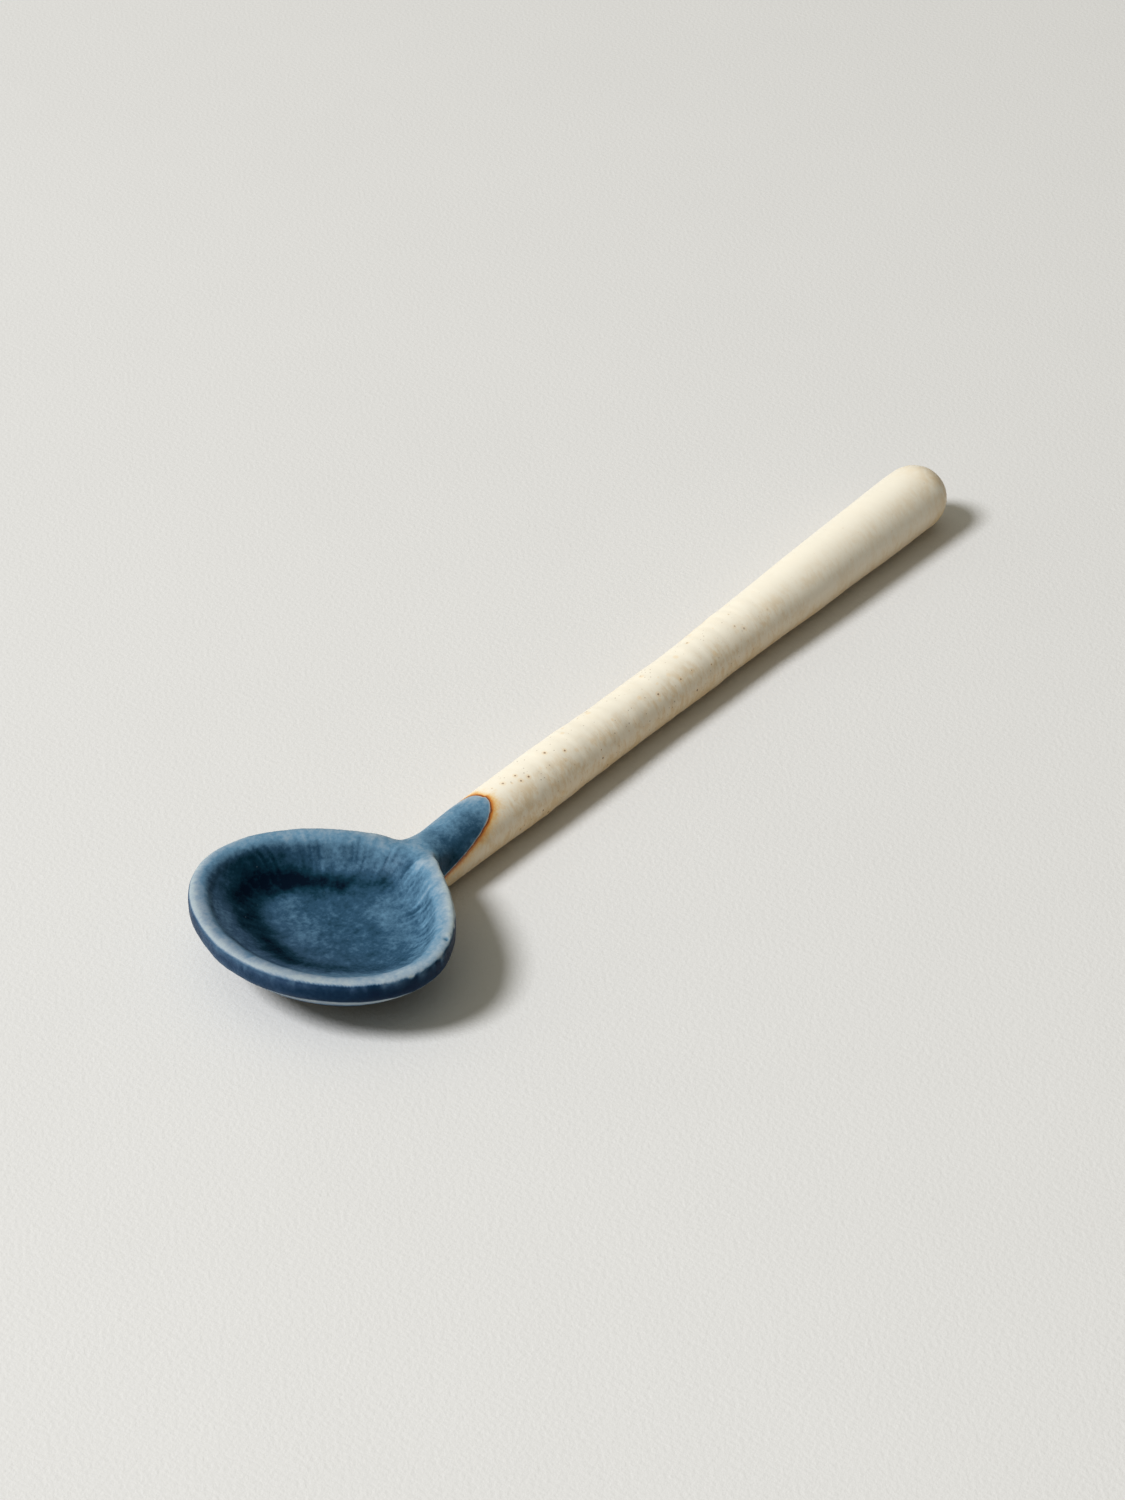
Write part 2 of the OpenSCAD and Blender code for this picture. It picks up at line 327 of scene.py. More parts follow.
# Bands of the materials: from, to, and what they give at both ends where that isn't 0 and 1
BANDS = {
    "speck edge": (0.55, 1.0, 1.0, 0.0),
    "blue edge": (-0.26, -0.02, 0.0, 0.24),
    "violet front": (-16.0, 3.0, 0.6, 0.0),
    "violet thin": (0.5, 0.88, 1.0, 0.0),
    "blue roughness": (0.2, 0.8, 0.34, 0.5),
    "tan": (0.36, 0.76, 0.12, 0.72),
    "tan belt": (84.0, 112.0, 1.0, 0.5),
    "tan low": (3.0, 8.4, 0.6, 0.0),
    "clean up": (5.5, 8.0),
    "clean across": (-3.6, -0.6),
    "tip": (133.0, 143.0, 0.0, 0.6),
    "tip clouds": (0.2, 0.7),
    "halo fading": (0.1, 0.9, -1.7, -0.95),
    "amber": (0.05, 0.62),
    "halo": (0.45, 1.1),
    "specks start": (28.0, 40.0),
    "specks end": (78.0, 100.0, 1.0, 0.12),
    "cream roughness": (0.2, 0.8, 0.36, 0.52),
    "room": (-0.1, 1.0),
}
# Where the colours stand in the blue glaze, from thin to thick, and across the rusty line, and how
# much these wander
BLUE_STOPS = [(0.0, "blue_bare"), (0.16, "blue_thin"), (0.36, "blue_light"), (0.58, "blue_mid"),
              (0.76, "blue_deep"), (0.95, "blue_thick")]
RUST_STOPS = (0.0, 0.2, 0.42, 0.8)
RUST_WANDER = 0.5
# The mottle's finer clouds, and the specks' least size and how uneven their outline is
FINER = 4.3
FINE_SHARE = 0.3
LEAST_SPECK = 0.35
WOBBLE = 0.12
WOBBLE_FINE = 7.0
# The fine grain of each surface: how fine it is, how deep in metres, and how much it shows
GRAINS = {
    "blue": (3.2, 0.00003, 0.55),
    "cream": (2.4, 0.00002, 0.4),
    "rust": (3.2, 0.00002, 0.4),
    "clay": (1.6, 0.00006, 0.7),
    "paper": (1.5, 0.00014, 0.55),
}
# How much each effect shows in the colour, and how the rings of tan run round the handle
BLUE_CLOUDS = 0.22
BLUE_MOTTLE = 0.16
CURTAIN_DARK = 0.6
PALE_SPECKS = 0.16
TAN_RINGS = 0.45
RINGS_LONG = (1.0, 0.36, 0.36)
LOW_WAVE = 1.5
CLEAN_SHARE = 0.85
HALO_STRONG = 1.6
HALO_BASE = 2.718
SMALL_SPECKS = 0.6
SPECK_RINGS = 0.3
SPECKS_DARK = 0.85
# How dark clouds, grains and paper fibres are, how much grains show, and how pale the slip is
CLAY_CLOUD = 0.62
GROG_TONE = 0.2
GROG_DARK = 0.7
PAPER_SHADE = 0.93
SLIP_PALER = 1.12
# The paper in metres: half its side, how far it lies flat, how much it rolls, and its lines
PAPER_HALF = 1.6
PAPER_FLAT = 0.25
PAPER_ROLL = 0.004
PAPER_LINES = 161
# Where the lamp stands, and where the room is brightest, seen from the spoon
KEY_FROM = (-0.8, 0.45, 1.06)
FILL_FROM = (-0.35, 0.5, 0.8)
# The camera's frame height in millimetres, and how near it sees, in metres
SENSOR = 36
NEAREST = 0.01


def length(title, note, millimetres):
    return FloatProperty(name=title, description=note, default=millimetres * MM,
                         unit="LENGTH", precision=5, min=0)


def tint(title, note, colour):
    return FloatVectorProperty(name=title, description=note, default=colour,
                               subtype="COLOR", size=3, min=0, max=1)


def plain(title, note, value, **limits):
    return FloatProperty(name=title, description=note, default=value, precision=3, **limits)


class SpoonShape(PropertyGroup):
    """Sizes of the spoon's form and of the relief in its glaze."""

    spout: length("Drawn-out point", "How far the rim is drawn out towards the handle", 3.0)
    rim_drop: length("Dip at the point", "How much lower the rim is at that point", 1.0)
    bowl_depth: length("Bowl depth", "Depth of the bowl's middle below the rim", 5.2)
    rim_w: length("Rim width", "Width of the rolled rim, outside to inside", 3.2)
    rim_tall: length("Rim height", "Height of the rolled rim, top to underside", 3.3)
    rim_lean: length("Rim lean", "How much lower the rim is on its inner side", 0.35)
    floor_len: length("Floor length", "Length of the floor inside the bowl", 17.6)
    floor_w: length("Floor width", "Width of the floor inside the bowl", 23.0)
    floor_shift: length("Floor shift", "How far the floor lies towards the handle", 3.0)
    floor_rise: length("Floor rise", "How much the floor's edge stands above its middle", 0.6)
    foot_len: length("Foot length", "Length of the flat foot", 15.0)
    foot_w: length("Foot width", "Width of the flat foot", 18.0)
    foot_wipe: length("Wiped edge", "Height of the bare clay round the foot", 0.5)
    waist_d: length("Waist", "Diameter of the handle at its slim middle", 8.3)
    neck_start: length("Neck start", "Where the neck starts, from the bowl's middle", 15.0)
    neck_len: length("Neck length", "Length of the neck's swelling", 9.0)
    neck_w: length("Neck width", "Width of the neck where it leaves the bowl", 10.0)
    neck_h: length("Neck height", "Height of the neck where it leaves the bowl", 9.5)
    neck_sink: length("Rim at the neck", "How far the rim's outer edge sinks into the neck", 0.85)
    neck_lean: length("Neck lean", "How far the neck's root lies to the near side", 0.5)
    neck_under: length("Neck underside", "Height of the neck's lower edge", 6.6)
    glaze_t: length("Glaze thickness", "Thickness of both glaze coats", 0.35)
    dip_end: length("Dip end", "Where the blue glaze ends on top of the handle", 32.4)
    dip_run: length("Dip run", "How far the blue edge runs back to the handle's side", 18.4)
    flash_w: length("Rust line", "Width of the rusty line between the glazes", 0.5)
    voxel: length("Mesh cell", "Size of the mesh's cells on the glazed skin", 0.272)
    rivulet: length("Rivulets", "Height of the fine rivulets down the bowl's wall", 0.055)
    lump: length("Lumps", "Height of the uneven places of hand-rolled clay", 0.13)
    ripple: length("Ripples", "Height of the ripples round the handle", 0.05)


class SpoonGlaze(PropertyGroup):
    """Colours of the two glazes, of the line between them and of the clay."""

    blue_thin: tint("Blue, thin", "Where the blue glaze breaks over an edge", (0.285, 0.375, 0.45))
    blue_bare: tint("Blue, barest", "Where hardly any blue glaze is left", (0.43, 0.51, 0.53))
    blue_light: tint("Blue, light", "The blue glaze on a slope", (0.115, 0.235, 0.345))
    blue_mid: tint("Blue, mid", "The blue glaze on the flat", (0.026, 0.075, 0.132))
    violet: tint("Violet", "A violet cast of the blue glaze towards the front", (0.075, 0.095, 0.17))
    blue_deep: tint("Blue, deep", "The blue glaze in a dip", (0.0035, 0.027, 0.047))
    blue_thick: tint("Blue, pooled", "Where the blue glaze has run together", (0.0002, 0.004, 0.012))
    curtain: tint("Curtain", "The thick glaze down the rim's outer side", (0.003, 0.02, 0.062))
    cream_base: tint("Cream", "The cream glaze", (0.925, 0.865, 0.73))
    cream_tan: tint("Cream, tan", "The tan mottling of the cream glaze", (0.74, 0.55, 0.31))
    speck: tint("Specks", "Iron specks in the cream glaze", (0.2, 0.085, 0.028))
    amber: tint("Amber", "The outer part of the halo beside the rusty line", (0.84, 0.57, 0.25))
    halo: tint("Halo", "The orange halo beside the rusty line", (0.66, 0.235, 0.035))
    rust: tint("Rust", "The dark middle of the rusty line", (0.22, 0.055, 0.016))
    clay: tint("Clay", "The fired stoneware", (0.52, 0.40, 0.285))


class SpoonStage(PropertyGroup):
    """The camera, the lamp, the room's light and the paper."""

    lens: plain("Lens", "Focal length in millimetres on a 36 mm high frame", 90.0, min=10)
    distance: length("Distance", "From the camera to the point it looks at", 538.6)
    look_x: length("Look at X", "The point on the table in the middle of the picture", 57.17)
    look_y: length("Look at Y", "The point on the table in the middle of the picture", 5.79)
    heading: plain("Heading", "Which way the camera looks, in degrees from +X to +Y", 38.33)
    down: plain("Down", "How far down the camera looks, in degrees", 35.8)
    key_power: plain("Key lamp", "Power of the large soft lamp, in watts", 59.4, min=0)
    key_size: length("Key size", "Width of the large soft lamp", 730.0)
    key_far: length("Key distance", "How far away the lamp stands", 2400.0)
    key_tint: tint("Key colour", "Colour of the large soft lamp", (0.95, 0.965, 1.0))
    fill: plain("Fill", "Brightness of the room's light on its bright side", 0.465, min=0)
    fill_low: plain("Low fill", "Brightness of the room's light on its dim side", 0.09, min=0)
    fill_tint: tint("Fill colour", "Colour of the room's light", (1.0, 0.955, 0.78))
    paper: tint("Paper", "Colour of the paper", (0.728, 0.72, 0.705))


def in_millimetres(group):
    """All the sizes of a property group in millimetres, by name."""
    return SimpleNamespace(**{name: getattr(group, name) / MM for name in group.__annotations__})


def measured(scene):
    """The sizes on the panel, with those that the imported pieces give."""
    size = in_millimetres(scene.spoon_shape)
    turns = np.linspace(0, math.pi, OUTLINE_STEPS + 1)
    widest = np.max(slimming(turns) * np.sin(turns))
    size.half_len = -BOWL_LO[0]
    size.half_wid = BOWL_HI[1] / widest
    size.rim_h = BOWL_HI[2]
    size.floor_z = size.rim_h - size.bowl_depth
    size.roll_z = size.rim_h - size.rim_tall / 2
    size.tip_x = HANDLE_HI[0]
    size.end_d = HANDLE_HI[2]
    size.start_x = CLAY_LO[0] - size.glaze_t
    return size


def full_turn(sides):
    return np.arange(sides) * 2 * math.pi / sides


def slimming(turn):
    return 1 - EGG_SHARE * np.cos(turn) - FLANK_SHARE * np.cos(turn) ** 2


def toward_handle(turn, power):
    return np.maximum(0, np.cos(turn)) ** power


def signed_power(value, power):
    return np.sign(value) * np.abs(value) ** power


def rim_part(size, z):
    return np.clip((z - size.floor_z) / (size.rim_h - size.floor_z), 0, 1)


def egg_ring(size, turn, half_l, half_w, z):
    """A level ring of the bowl, drawn out and lowered towards the handle."""
    part = rim_part(size, z)
    x = half_l * np.cos(turn) + size.spout * toward_handle(turn, SPOUT_POWER) * part
    y = half_w * slimming(turn) * np.sin(turn)
    height = z - size.rim_drop * toward_handle(turn, DROP_POWER) * part
    return np.stack([x, y, height + 0 * x], axis=-1)


def squareness(angle):
    return RIM_SQUARE if angle <= CREST else RIM_ROUND


def roll_out(size, grow, angle):
    share = signed_power(math.cos(math.radians(angle)), 2 / squareness(angle))
    return (size.rim_w / 2 + grow) * share - size.rim_w / 2


def roll_up(size, grow, angle):
    """Height over the rim's middle; the crest leans down a little towards the inside."""
    share = signed_power(math.sin(math.radians(angle)), 2 / squareness(angle))
    inside = rising(-roll_out(size, 0, angle), LEAN_SHARE * size.rim_w, size.rim_w)
    return (size.rim_tall / 2 + grow) * share - size.rim_lean * inside


def roll_rings(size, turn, grow, last, count):
    rings = []
    for angle in np.linspace(ROLL_FROM, last, count):
        out = roll_out(size, grow, angle)
        height = size.roll_z + roll_up(size, grow, angle)
        rings.append(egg_ring(size, turn, size.half_len + out, size.half_wid + out, height))
    return rings


def belly_rings(size, turn, grow, count):
    """Rings of the underside, from the foot's middle up to the rim."""
    table = np.array(BELLY_SHARES)
    place = np.linspace(0, len(table) - 1, count + 1)[1:]
    shares_in = np.interp(place, range(len(table)), table[:, 0])
    shares_down = np.interp(place, range(len(table)), table[:, 1])
    begin = roll_out(size, 0, ROLL_FROM)
    high = size.roll_z + roll_up(size, 0, ROLL_FROM)
    out = grow * BELLY_OUT_SHARE
    down = grow * BELLY_DOWN_SHARE
    rings = []
    for b, d in zip(shares_in[::-1], shares_down[::-1]):
        half_l = (size.half_len + begin) * (1 - b) + size.foot_len / 2 * b + out
        half_w = (size.half_wid + begin) * (1 - b) + size.foot_w / 2 * b + out
        rings.append(egg_ring(size, turn, half_l, half_w, high - high * d - down))
    return rings


def floor_ring(size, turn, part, grow, z):
    x = size.floor_shift + (size.floor_len / 2 - grow) * part * np.cos(turn)
    y = (size.floor_w / 2 - grow) * part * slimming(turn) * np.sin(turn)
    return np.stack([x, y, z + 0 * x], axis=-1)


def inner_rings(size, turn, grow, wall_count, floor_count):
    """Rings down the inner wall and over the floor to its middle."""
    lip = roll_rings(size, turn, grow, ROLL_TO, 2)[-1]
    edge = floor_ring(size, turn, 1, grow, size.floor_z + size.floor_rise + grow)
    rings = []
    for w in np.linspace(0, 1, wall_count + 1)[1:]:
        drop = 1 - (1 - w) ** WALL_POWER
        mixed = lip + (edge - lip) * w
        mixed[:, 2] = lip[:, 2] + (edge[:, 2] - lip[:, 2]) * drop
        rings.append(mixed)
    for k in np.linspace(1, 0, floor_count + 1)[1:-1]:
        rings.append(floor_ring(size, turn, k, grow, size.floor_z + size.floor_rise * k * k + grow))
    return rings


def closed_skin(first, rings, last):
    """Points and triangles of a closed solid through rings, with a point at each end."""
    n = len(rings[0])
    points = np.concatenate([[first], *rings, [last]])
    i = np.arange(n)
    j = (i + 1) % n
    faces = [np.stack([0 * i, 1 + j, 1 + i], axis=1)]
    for k in range(len(rings) - 1):
        a = 1 + k * n + i
        b = 1 + k * n + j
        faces.append(np.stack([a, b, b + n], axis=1))
        faces.append(np.stack([a, b + n, a + n], axis=1))
    top = 1 + (len(rings) - 1) * n
    faces.append(np.stack([0 * i + len(points) - 1, top + i, top + j], axis=1))
    return points, np.concatenate(faces)


def bowl_solid(size, grow, sides, fine):
    """The bowl with its hollow, its skin moved out by grow, standing on its flat foot."""
    turn = full_turn(sides)
    belly = belly_rings(size, turn, grow, BELLY_RINGS * fine)
    roll = roll_rings(size, turn, grow, ROLL_TO, ROLL_RINGS * fine)
    inside = inner_rings(size, turn, grow, WALL_RINGS * fine, FLOOR_RINGS * fine)
    keel = [0, 0, belly[0][0, 2]]
    middle = [size.floor_shift, 0, size.floor_z + grow]
    points, faces = closed_skin(keel, belly + roll + inside, middle)
    bearing = np.arctan2(points[:, 1], points[:, 0])
    out = np.hypot(points[:, 0], points[:, 1]) - outline_radius(size, bearing)
    sunk = sides_of(bearing, "sink") * rises("sink out", out) * rises("sink up", points[:, 2])
    points[:, 2] -= size.neck_sink * sunk
    points[:, 2] = np.maximum(points[:, 2], 0)
    return points, faces


def core_solid(size, sides):
    """The space over the bowl's inside, bounded within its wall, that the handle stays out of."""
    turn = full_turn(sides)
    shell = -size.rim_w * CORE_SHARE
    inset = size.rim_w * (1 - CORE_SHARE)
    belly = belly_rings(size, turn, shell, CORE_RINGS)
    wall = egg_ring(size, turn, size.half_len - inset, size.half_wid - inset, size.rim_h)
    top = 2 * size.rim_h
    upright = [wall * [1, 1, 0] + [0, 0, height] for height in (size.roll_z, top)]
    return closed_skin([0, 0, belly[0][0, 2]], belly + upright, [0, 0, top])


def handle_radius(size, x):
    """Radius of the glazed handle at a place along the spoon."""
    table = np.array(SWELL_SHARES)
    share = x / size.tip_x
    total = 0
    for step in EASE_STEPS:
        total = total + np.interp(share + step * EASE_SHARE, table[:, 0], table[:, 1])
    return (size.waist_d + (size.end_d - size.waist_d) * total / len(EASE_STEPS)) / 2


def rod_ring(turn, x, radius, height):
    return np.stack([x + 0 * turn, radius * np.sin(turn), height - radius * np.cos(turn)], axis=-1)


def handle_solid(size, sides):
    turn = full_turn(sides)
    tip_r = size.end_d / 2
    last_x = size.tip_x - tip_r
    rings = []
    for x in np.linspace(size.start_x, last_x, ROD_RINGS):
        radius = float(handle_radius(size, x))
        rings.append(rod_ring(turn, x, radius, radius))
    for angle in np.radians(np.linspace(0, 90, TIP_RINGS)[1:-1]):
        x = last_x + tip_r * math.sin(angle)
        rings.append(rod_ring(turn, x, tip_r * math.cos(angle), tip_r))
    rings = rings[::-1]
    begin = [size.start_x, 0, rings[-1][0, 2] + tip_r]
    return closed_skin([size.tip_x, 0, tip_r], rings, begin)


def neck_solid(size, grow, sides):
    """The coil smoothed into the neck: an oval that sinks into the handle."""
    turn = full_turn(sides)
    seat = float(handle_radius(size, size.neck_start + size.neck_len))
    slim = NECK_SLIM * seat
    high = 2 * seat - NECK_SUNK
    rings = []
    for share in np.linspace(0, 1, COIL_RINGS):
        left = (1 - share) ** NECK_FLARE
        half = slim + (size.neck_w / 2 - slim) * (1 - share) ** 2
        top = high + (size.neck_h - high) * (1 - share)
        under = seat - (seat - size.neck_under) * left
        power = 2 / (2 + NECK_SQUARE * left)
        x = size.neck_start + size.neck_len * share
        y = (half + grow) * signed_power(np.sin(turn), power) - size.neck_lean * left
        rise = ((top - under) / 2 + grow) * signed_power(np.cos(turn), power)
        rings.append(np.stack([x + 0 * turn, y, (top + under) / 2 - rise], axis=-1))
    rings = rings[::-1]
    return closed_skin(rings[0].mean(0), rings, rings[-1].mean(0))


def mesh_of(name, points, faces):
    mesh = bpy.data.meshes.new(name)
    mesh.from_pydata([tuple(p) for p in points], [], [tuple(f) for f in faces])
    mesh.update()
    return mesh


def object_of(name, points, faces):
    thing = bpy.data.objects.new(name, mesh_of(name, points, faces))
    bpy.context.scene.collection.objects.link(thing)
    return thing


def smooth_piece(name, points, faces, finish):
    piece = object_of(name, points, faces)
    piece.data.polygons.foreach_set("use_smooth", np.ones(len(piece.data.polygons), bool))
    piece.data.materials.append(finish)
    return piece


def discard(*things):
    for thing in things:
        mesh = thing.data
        bpy.data.objects.remove(thing)
        bpy.data.meshes.remove(mesh)


def read_mesh(thing):
    """Points and triangles of an object with its modifiers."""
    bpy.context.view_layer.update()
    shaped = thing.evaluated_get(bpy.context.evaluated_depsgraph_get())
    mesh = shaped.to_mesh()
    points = np.zeros(len(mesh.vertices) * 3)
    mesh.vertices.foreach_get("co", points)
    mesh.calc_loop_triangles()
    faces = np.zeros(len(mesh.loop_triangles) * 3, np.int32)
    mesh.loop_triangles.foreach_get("vertices", faces)
    shaped.to_mesh_clear()
    return points.reshape(-1, 3), faces.reshape(-1, 3)


def cut_away(name, solid, core):
    """A solid without the space that the core takes."""
    thing = object_of(name, *solid)
    cutter = object_of(name + "_cutter", *core)
    boolean = thing.modifiers.new("core", "BOOLEAN")
    boolean.operation = "DIFFERENCE"
    boolean.solver = "MANIFOLD"
    boolean.object = cutter
    result = read_mesh(thing)
    discard(thing, cutter)
    return result


def together(solids):
    points, faces, start = [], [], 0
    for p, f in solids:
        points.append(p)
        faces.append(f + start)
        start += len(p)
    return np.concatenate(points), np.concatenate(faces)


def squeezed(points, share):
    """Points with the handle beyond its blue end drawn together to that share of its length."""
    beyond = np.maximum(0, points[:, 0] - SQUEEZE_FROM)
    return points + beyond[:, None] * [share - 1, 0, 0]


def one_skin(solids, cell):
    """One skin round solids that overlap. Its cells are longer on the plain part of the handle."""
    points, faces = together(solids)
    draft = object_of("draft", squeezed(points, SQUEEZE_SHARE), faces)
    remesh = draft.modifiers.new("cells", "REMESH")
    remesh.mode = "VOXEL"
    remesh.voxel_size = cell
    points, faces = read_mesh(draft)
    discard(draft)
    return squeezed(points, 1 / SQUEEZE_SHARE), faces


def edges_of(faces):
    pairs = np.sort(np.concatenate([faces[:, [0, 1]], faces[:, [1, 2]], faces[:, [2, 0]]]), axis=1)
    return np.unique(pairs, axis=0)


def relaxed(points, edges, weight, rounds):
    """Points drawn towards their neighbours' middle, as far as weight says."""
    moving = weight > STILL
    edges = edges[moving[edges].any(axis=1)]
    a, b = edges.T
    count = len(points)
    degree = np.maximum(1, np.bincount(edges.ravel(), minlength=count))[:, None]
    pull = (RELAX_SHARE * weight * moving)[:, None]
    points = points.copy()
    for _ in range(rounds):
        total = np.empty_like(points)
        for axis in range(3):
            total[:, axis] = (np.bincount(a, points[b, axis], count)
                              + np.bincount(b, points[a, axis], count))
        points += pull * (total / degree - points)
    return points


def normals_of(points, faces):
    a, b, c = points[faces[:, 0]], points[faces[:, 1]], points[faces[:, 2]]
    flat = np.cross(b - a, c - a)
    total = np.zeros_like(points)
    for corner in range(3):
        for axis in range(3):
            total[:, axis] += np.bincount(faces[:, corner], flat[:, axis], len(points))
    return total / np.maximum(TINY, np.linalg.norm(total, axis=1))[:, None]


def noise(places, seed):
    """Smooth noise from -1 to 1, with features about one unit wide."""
    places = places + seed * np.array(SEED_STEP)
    base = np.floor(places)
    part = places - base
    part = part * part * (3 - 2 * part)
    total = 0
    for corner in np.ndindex(2, 2, 2):
        value = np.modf(np.abs(np.sin((base + corner) @ SHUFFLE) * SPREAD))[0]
        total = total + np.prod(np.where(corner, part, 1 - part), axis=1) * value
    return 2 * total - 1


def rising(value, low, high):
    """0 below low, 1 above high, and smooth between."""
    part = np.clip((value - low) / (high - low), 0, 1)
    return part * part * (3 - 2 * part)


def rises(name, value):
    """What fades in with the value, as FADES says."""
    low, high, *amount = FADES[name]
    return math.prod(amount) * rising(value, low, high)


def falls(name, value):
    """What fades out with the value, as FADES says."""
    low, high, *amount = FADES[name]
    return math.prod(amount) * (1 - rising(value, low, high))


def swell(value, centre, width):
    """1 at the centre, fading to 0 on both sides of it."""
    return np.exp(-((value - centre) / width) ** 2)


def sides_of(bearing, *names):
    """How much shows at each bearing, by the rows of SIDES added up."""
    total = 0
    for name in names:
        amount, centre, width = SIDES[name]
        away = (np.degrees(bearing) - centre + 180) % 360 - 180
        total = total + amount * swell(away, 0, width)
    return total


def patches(name, *lines):
    """Smooth noise over one, two or three coordinates, as strong and as wide as PATCHES says."""
    seed, amount, *widths = PATCHES[name]
    places = np.zeros((len(lines[0]), 3))
    for axis, (line, width) in enumerate(zip(lines, widths)):
        places[:, axis] = line / width
    return amount * noise(places, seed)


def outline_radius(size, bearing):
    """Distance of the bowl's outermost line from the middle, by compass bearing."""
    turn = np.linspace(-math.pi, math.pi, 2 * OUTLINE_STEPS + 1)
    x, y = egg_ring(size, turn, size.half_len, size.half_wid, size.roll_z).T[:2]
    return np.interp(bearing, np.arctan2(y, x), np.hypot(x, y))


def undipped(size, bearing, z):
    """Heights as they would be without the rim's dip towards the handle."""
    return z + size.rim_drop * toward_handle(bearing, DROP_POWER) * rim_part(size, z)


def bowl_places(size, points):
    """For each point: bearing round the bowl, distance in from its outermost line, and how far
    outside the bowl's own form it lies."""
    x, y, z = points.T
    bearing = np.arctan2(y, x)
    inward = outline_radius(size, bearing) - np.hypot(x, y)
    level = undipped(size, bearing, z)
    up = np.clip((level - size.roll_z) / (size.rim_tall / 2), -1, 1)
    inset = size.rim_w / 2 * ((1 - np.abs(up) ** RIM_SQUARE) ** (1 / RIM_SQUARE) - 1)
    low_z = size.roll_z + roll_up(size, 0, ROLL_FROM)
    start = roll_out(size, 0, ROLL_FROM)
    table = np.array(BELLY_SHARES)
    down = np.interp((low_z - level) / low_z, table[:, 1], table[:, 0])
    turned = np.abs(np.cos(bearing))
    deep = ((size.half_len - size.foot_len / 2) * turned
            + (size.half_wid - size.foot_w / 2) * (1 - turned))
    inset = np.where(level < low_z, start - (deep + start) * down, np.maximum(inset, start))
    gap = -inward - inset
    return bearing, inward, gap * falls("near the handle", np.abs(np.degrees(bearing)))


def seam_distance(size, points):
    """How far each point lies past the blue glaze's edge on the handle, towards the tip."""
    x, y, z = points.T
    radius = handle_radius(size, x)
    around = np.arctan2(np.abs(y), z - radius)
    part = np.clip(around / (math.pi / 2) * np.where(y > 0, FAR_SHARE, 1), 0, 2)
    wave = patches("blue edge", around, np.sign(y))
    edge = size.dip_end - size.dip_run * part ** DIP_POWER + wave
    slope = DIP_POWER * size.dip_run * part ** (DIP_POWER - 1) / (radius * math.pi / 2)
    return (x - edge) / np.sqrt(1 + slope ** 2)


def fused_form(size):
    """The glazed spoon as one smooth skin, before the relief of its glaze."""
    core = core_solid(size, CORE_SIDES)
    rod = cut_away("rod", handle_solid(size, ROD_SIDES), core)
    coil = cut_away("coil", neck_solid(size, 0, COIL_SIDES), core)
    points, faces = one_skin([bowl_solid(size, 0, BOWL_SIDES, BOWL_FINE), rod, coil], size.voxel)
    edges = edges_of(faces)
    points = relaxed(points, edges, np.ones(len(points)), SKIN_ROUNDS)
    points = soft_floor(size, filled_neck(size, points, faces, edges), faces, edges)
    return points, faces, edges


def filled_neck(size, points, faces, edges):
    """Rounds the creases between bowl and handle: they fill up, and the clay's own crests stay."""
    crease = np.array([size.half_len + size.spout, 0, size.neck_under + CREASE_UP])
    away = np.linalg.norm((points - crease) / CREASE_REACH, axis=1)
    low = rises("crease up", points[:, 2])
    smooth = relaxed(points, edges, falls("crease smoothed", away) * low, CREASE_ROUNDS)
    normals = normals_of(points, faces)
    move = np.clip(((smooth - points) * normals).sum(1), *CREASE_MOVE)
    fade = falls("crease filled", away) * low
    moved = points + normals * (move * fade)[:, None]
    return relaxed(moved, edges, fade, CREASE_EDGE_ROUNDS)


def soft_floor(size, points, faces, edges):
    """Rounds the corner between the bowl's wall and its floor."""
    inward = bowl_places(size, points)[1]
    up = normals_of(points, faces)[:, 2]
    corner = rises("corner in", inward) * rises("corner flat", up)
    return relaxed(points, edges, corner * rises("corner up", points[:, 2]), CORNER_ROUNDS)


def bowl_relief(size, points, up):
    """Rivulets down the wall, an uneven crest, and a floor and a skin that are slightly uneven."""
    z = points[:, 2]
    bearing, inward = bowl_places(size, points)[:2]
    inside = rises("inside in", inward) * rises("inside flat", up)
    wall = inside * falls("wall in", inward) * rises("wall up", z - size.floor_z)
    arc = bearing * size.half_len
    bent = arc + patches("lane bend", arc, inward)
    lanes = patches("wall lanes", bent, inward) + patches("wall waves", bent, inward)
    strength = WEAK_LANES + (1 - WEAK_LANES) * rises("lanes turn", np.cos(bearing))
    height = size.rivulet * wall * strength * lanes
    crest = falls("crest in", np.abs(inward - CREST_IN)) * rises("crest up", z)
    height += crest * (patches("crest waves", arc) + patches("crest lumps", arc, z))
    height += inside * rises("floor in", inward) * patches("floor", *points.T)
    return height + patches("bowl skin", *points.T)


def rod_relief(size, points):
    """Lumps of hand-rolled clay, ripples round the handle, and the raised edge of the blue glaze."""
    x, y, z = points.T
    around = np.arctan2(y, z - handle_radius(size, x)) * size.waist_d / 2
    belt = rises("belt start", x) * (1 - BELT_LOSS * rises("belt end", x))
    rings = patches("handle rings", x, around) + patches("handle waves", x, around)
    seam = seam_distance(size, points)
    edge = EDGE_RAISED * falls("blue ends", seam) * rises("blue swells", seam)
    return size.lump * patches("handle lumps", x, y, z) + belt * size.ripple * rings + edge


def relief(size, points, normals):
    """How far the glaze and the hand-worked clay stand out or in at each point."""
    on_bowl = falls("relief off bowl", bowl_places(size, points)[2])
    on_rod = 1 - on_bowl
    height = on_bowl * bowl_relief(size, points, normals[:, 2]) + on_rod * rod_relief(size, points)
    for pit in PITS:
        height += hollow(points, *pit)
    return height * rises("off the table", points[:, 2])


def hollow(points, middle, radius, height):
    """A small round pit, or a small bump, at one place."""
    away = np.linalg.norm(points - np.array(middle), axis=1) / radius
    return height * np.exp(-away ** 2 * PIT_STEEP)


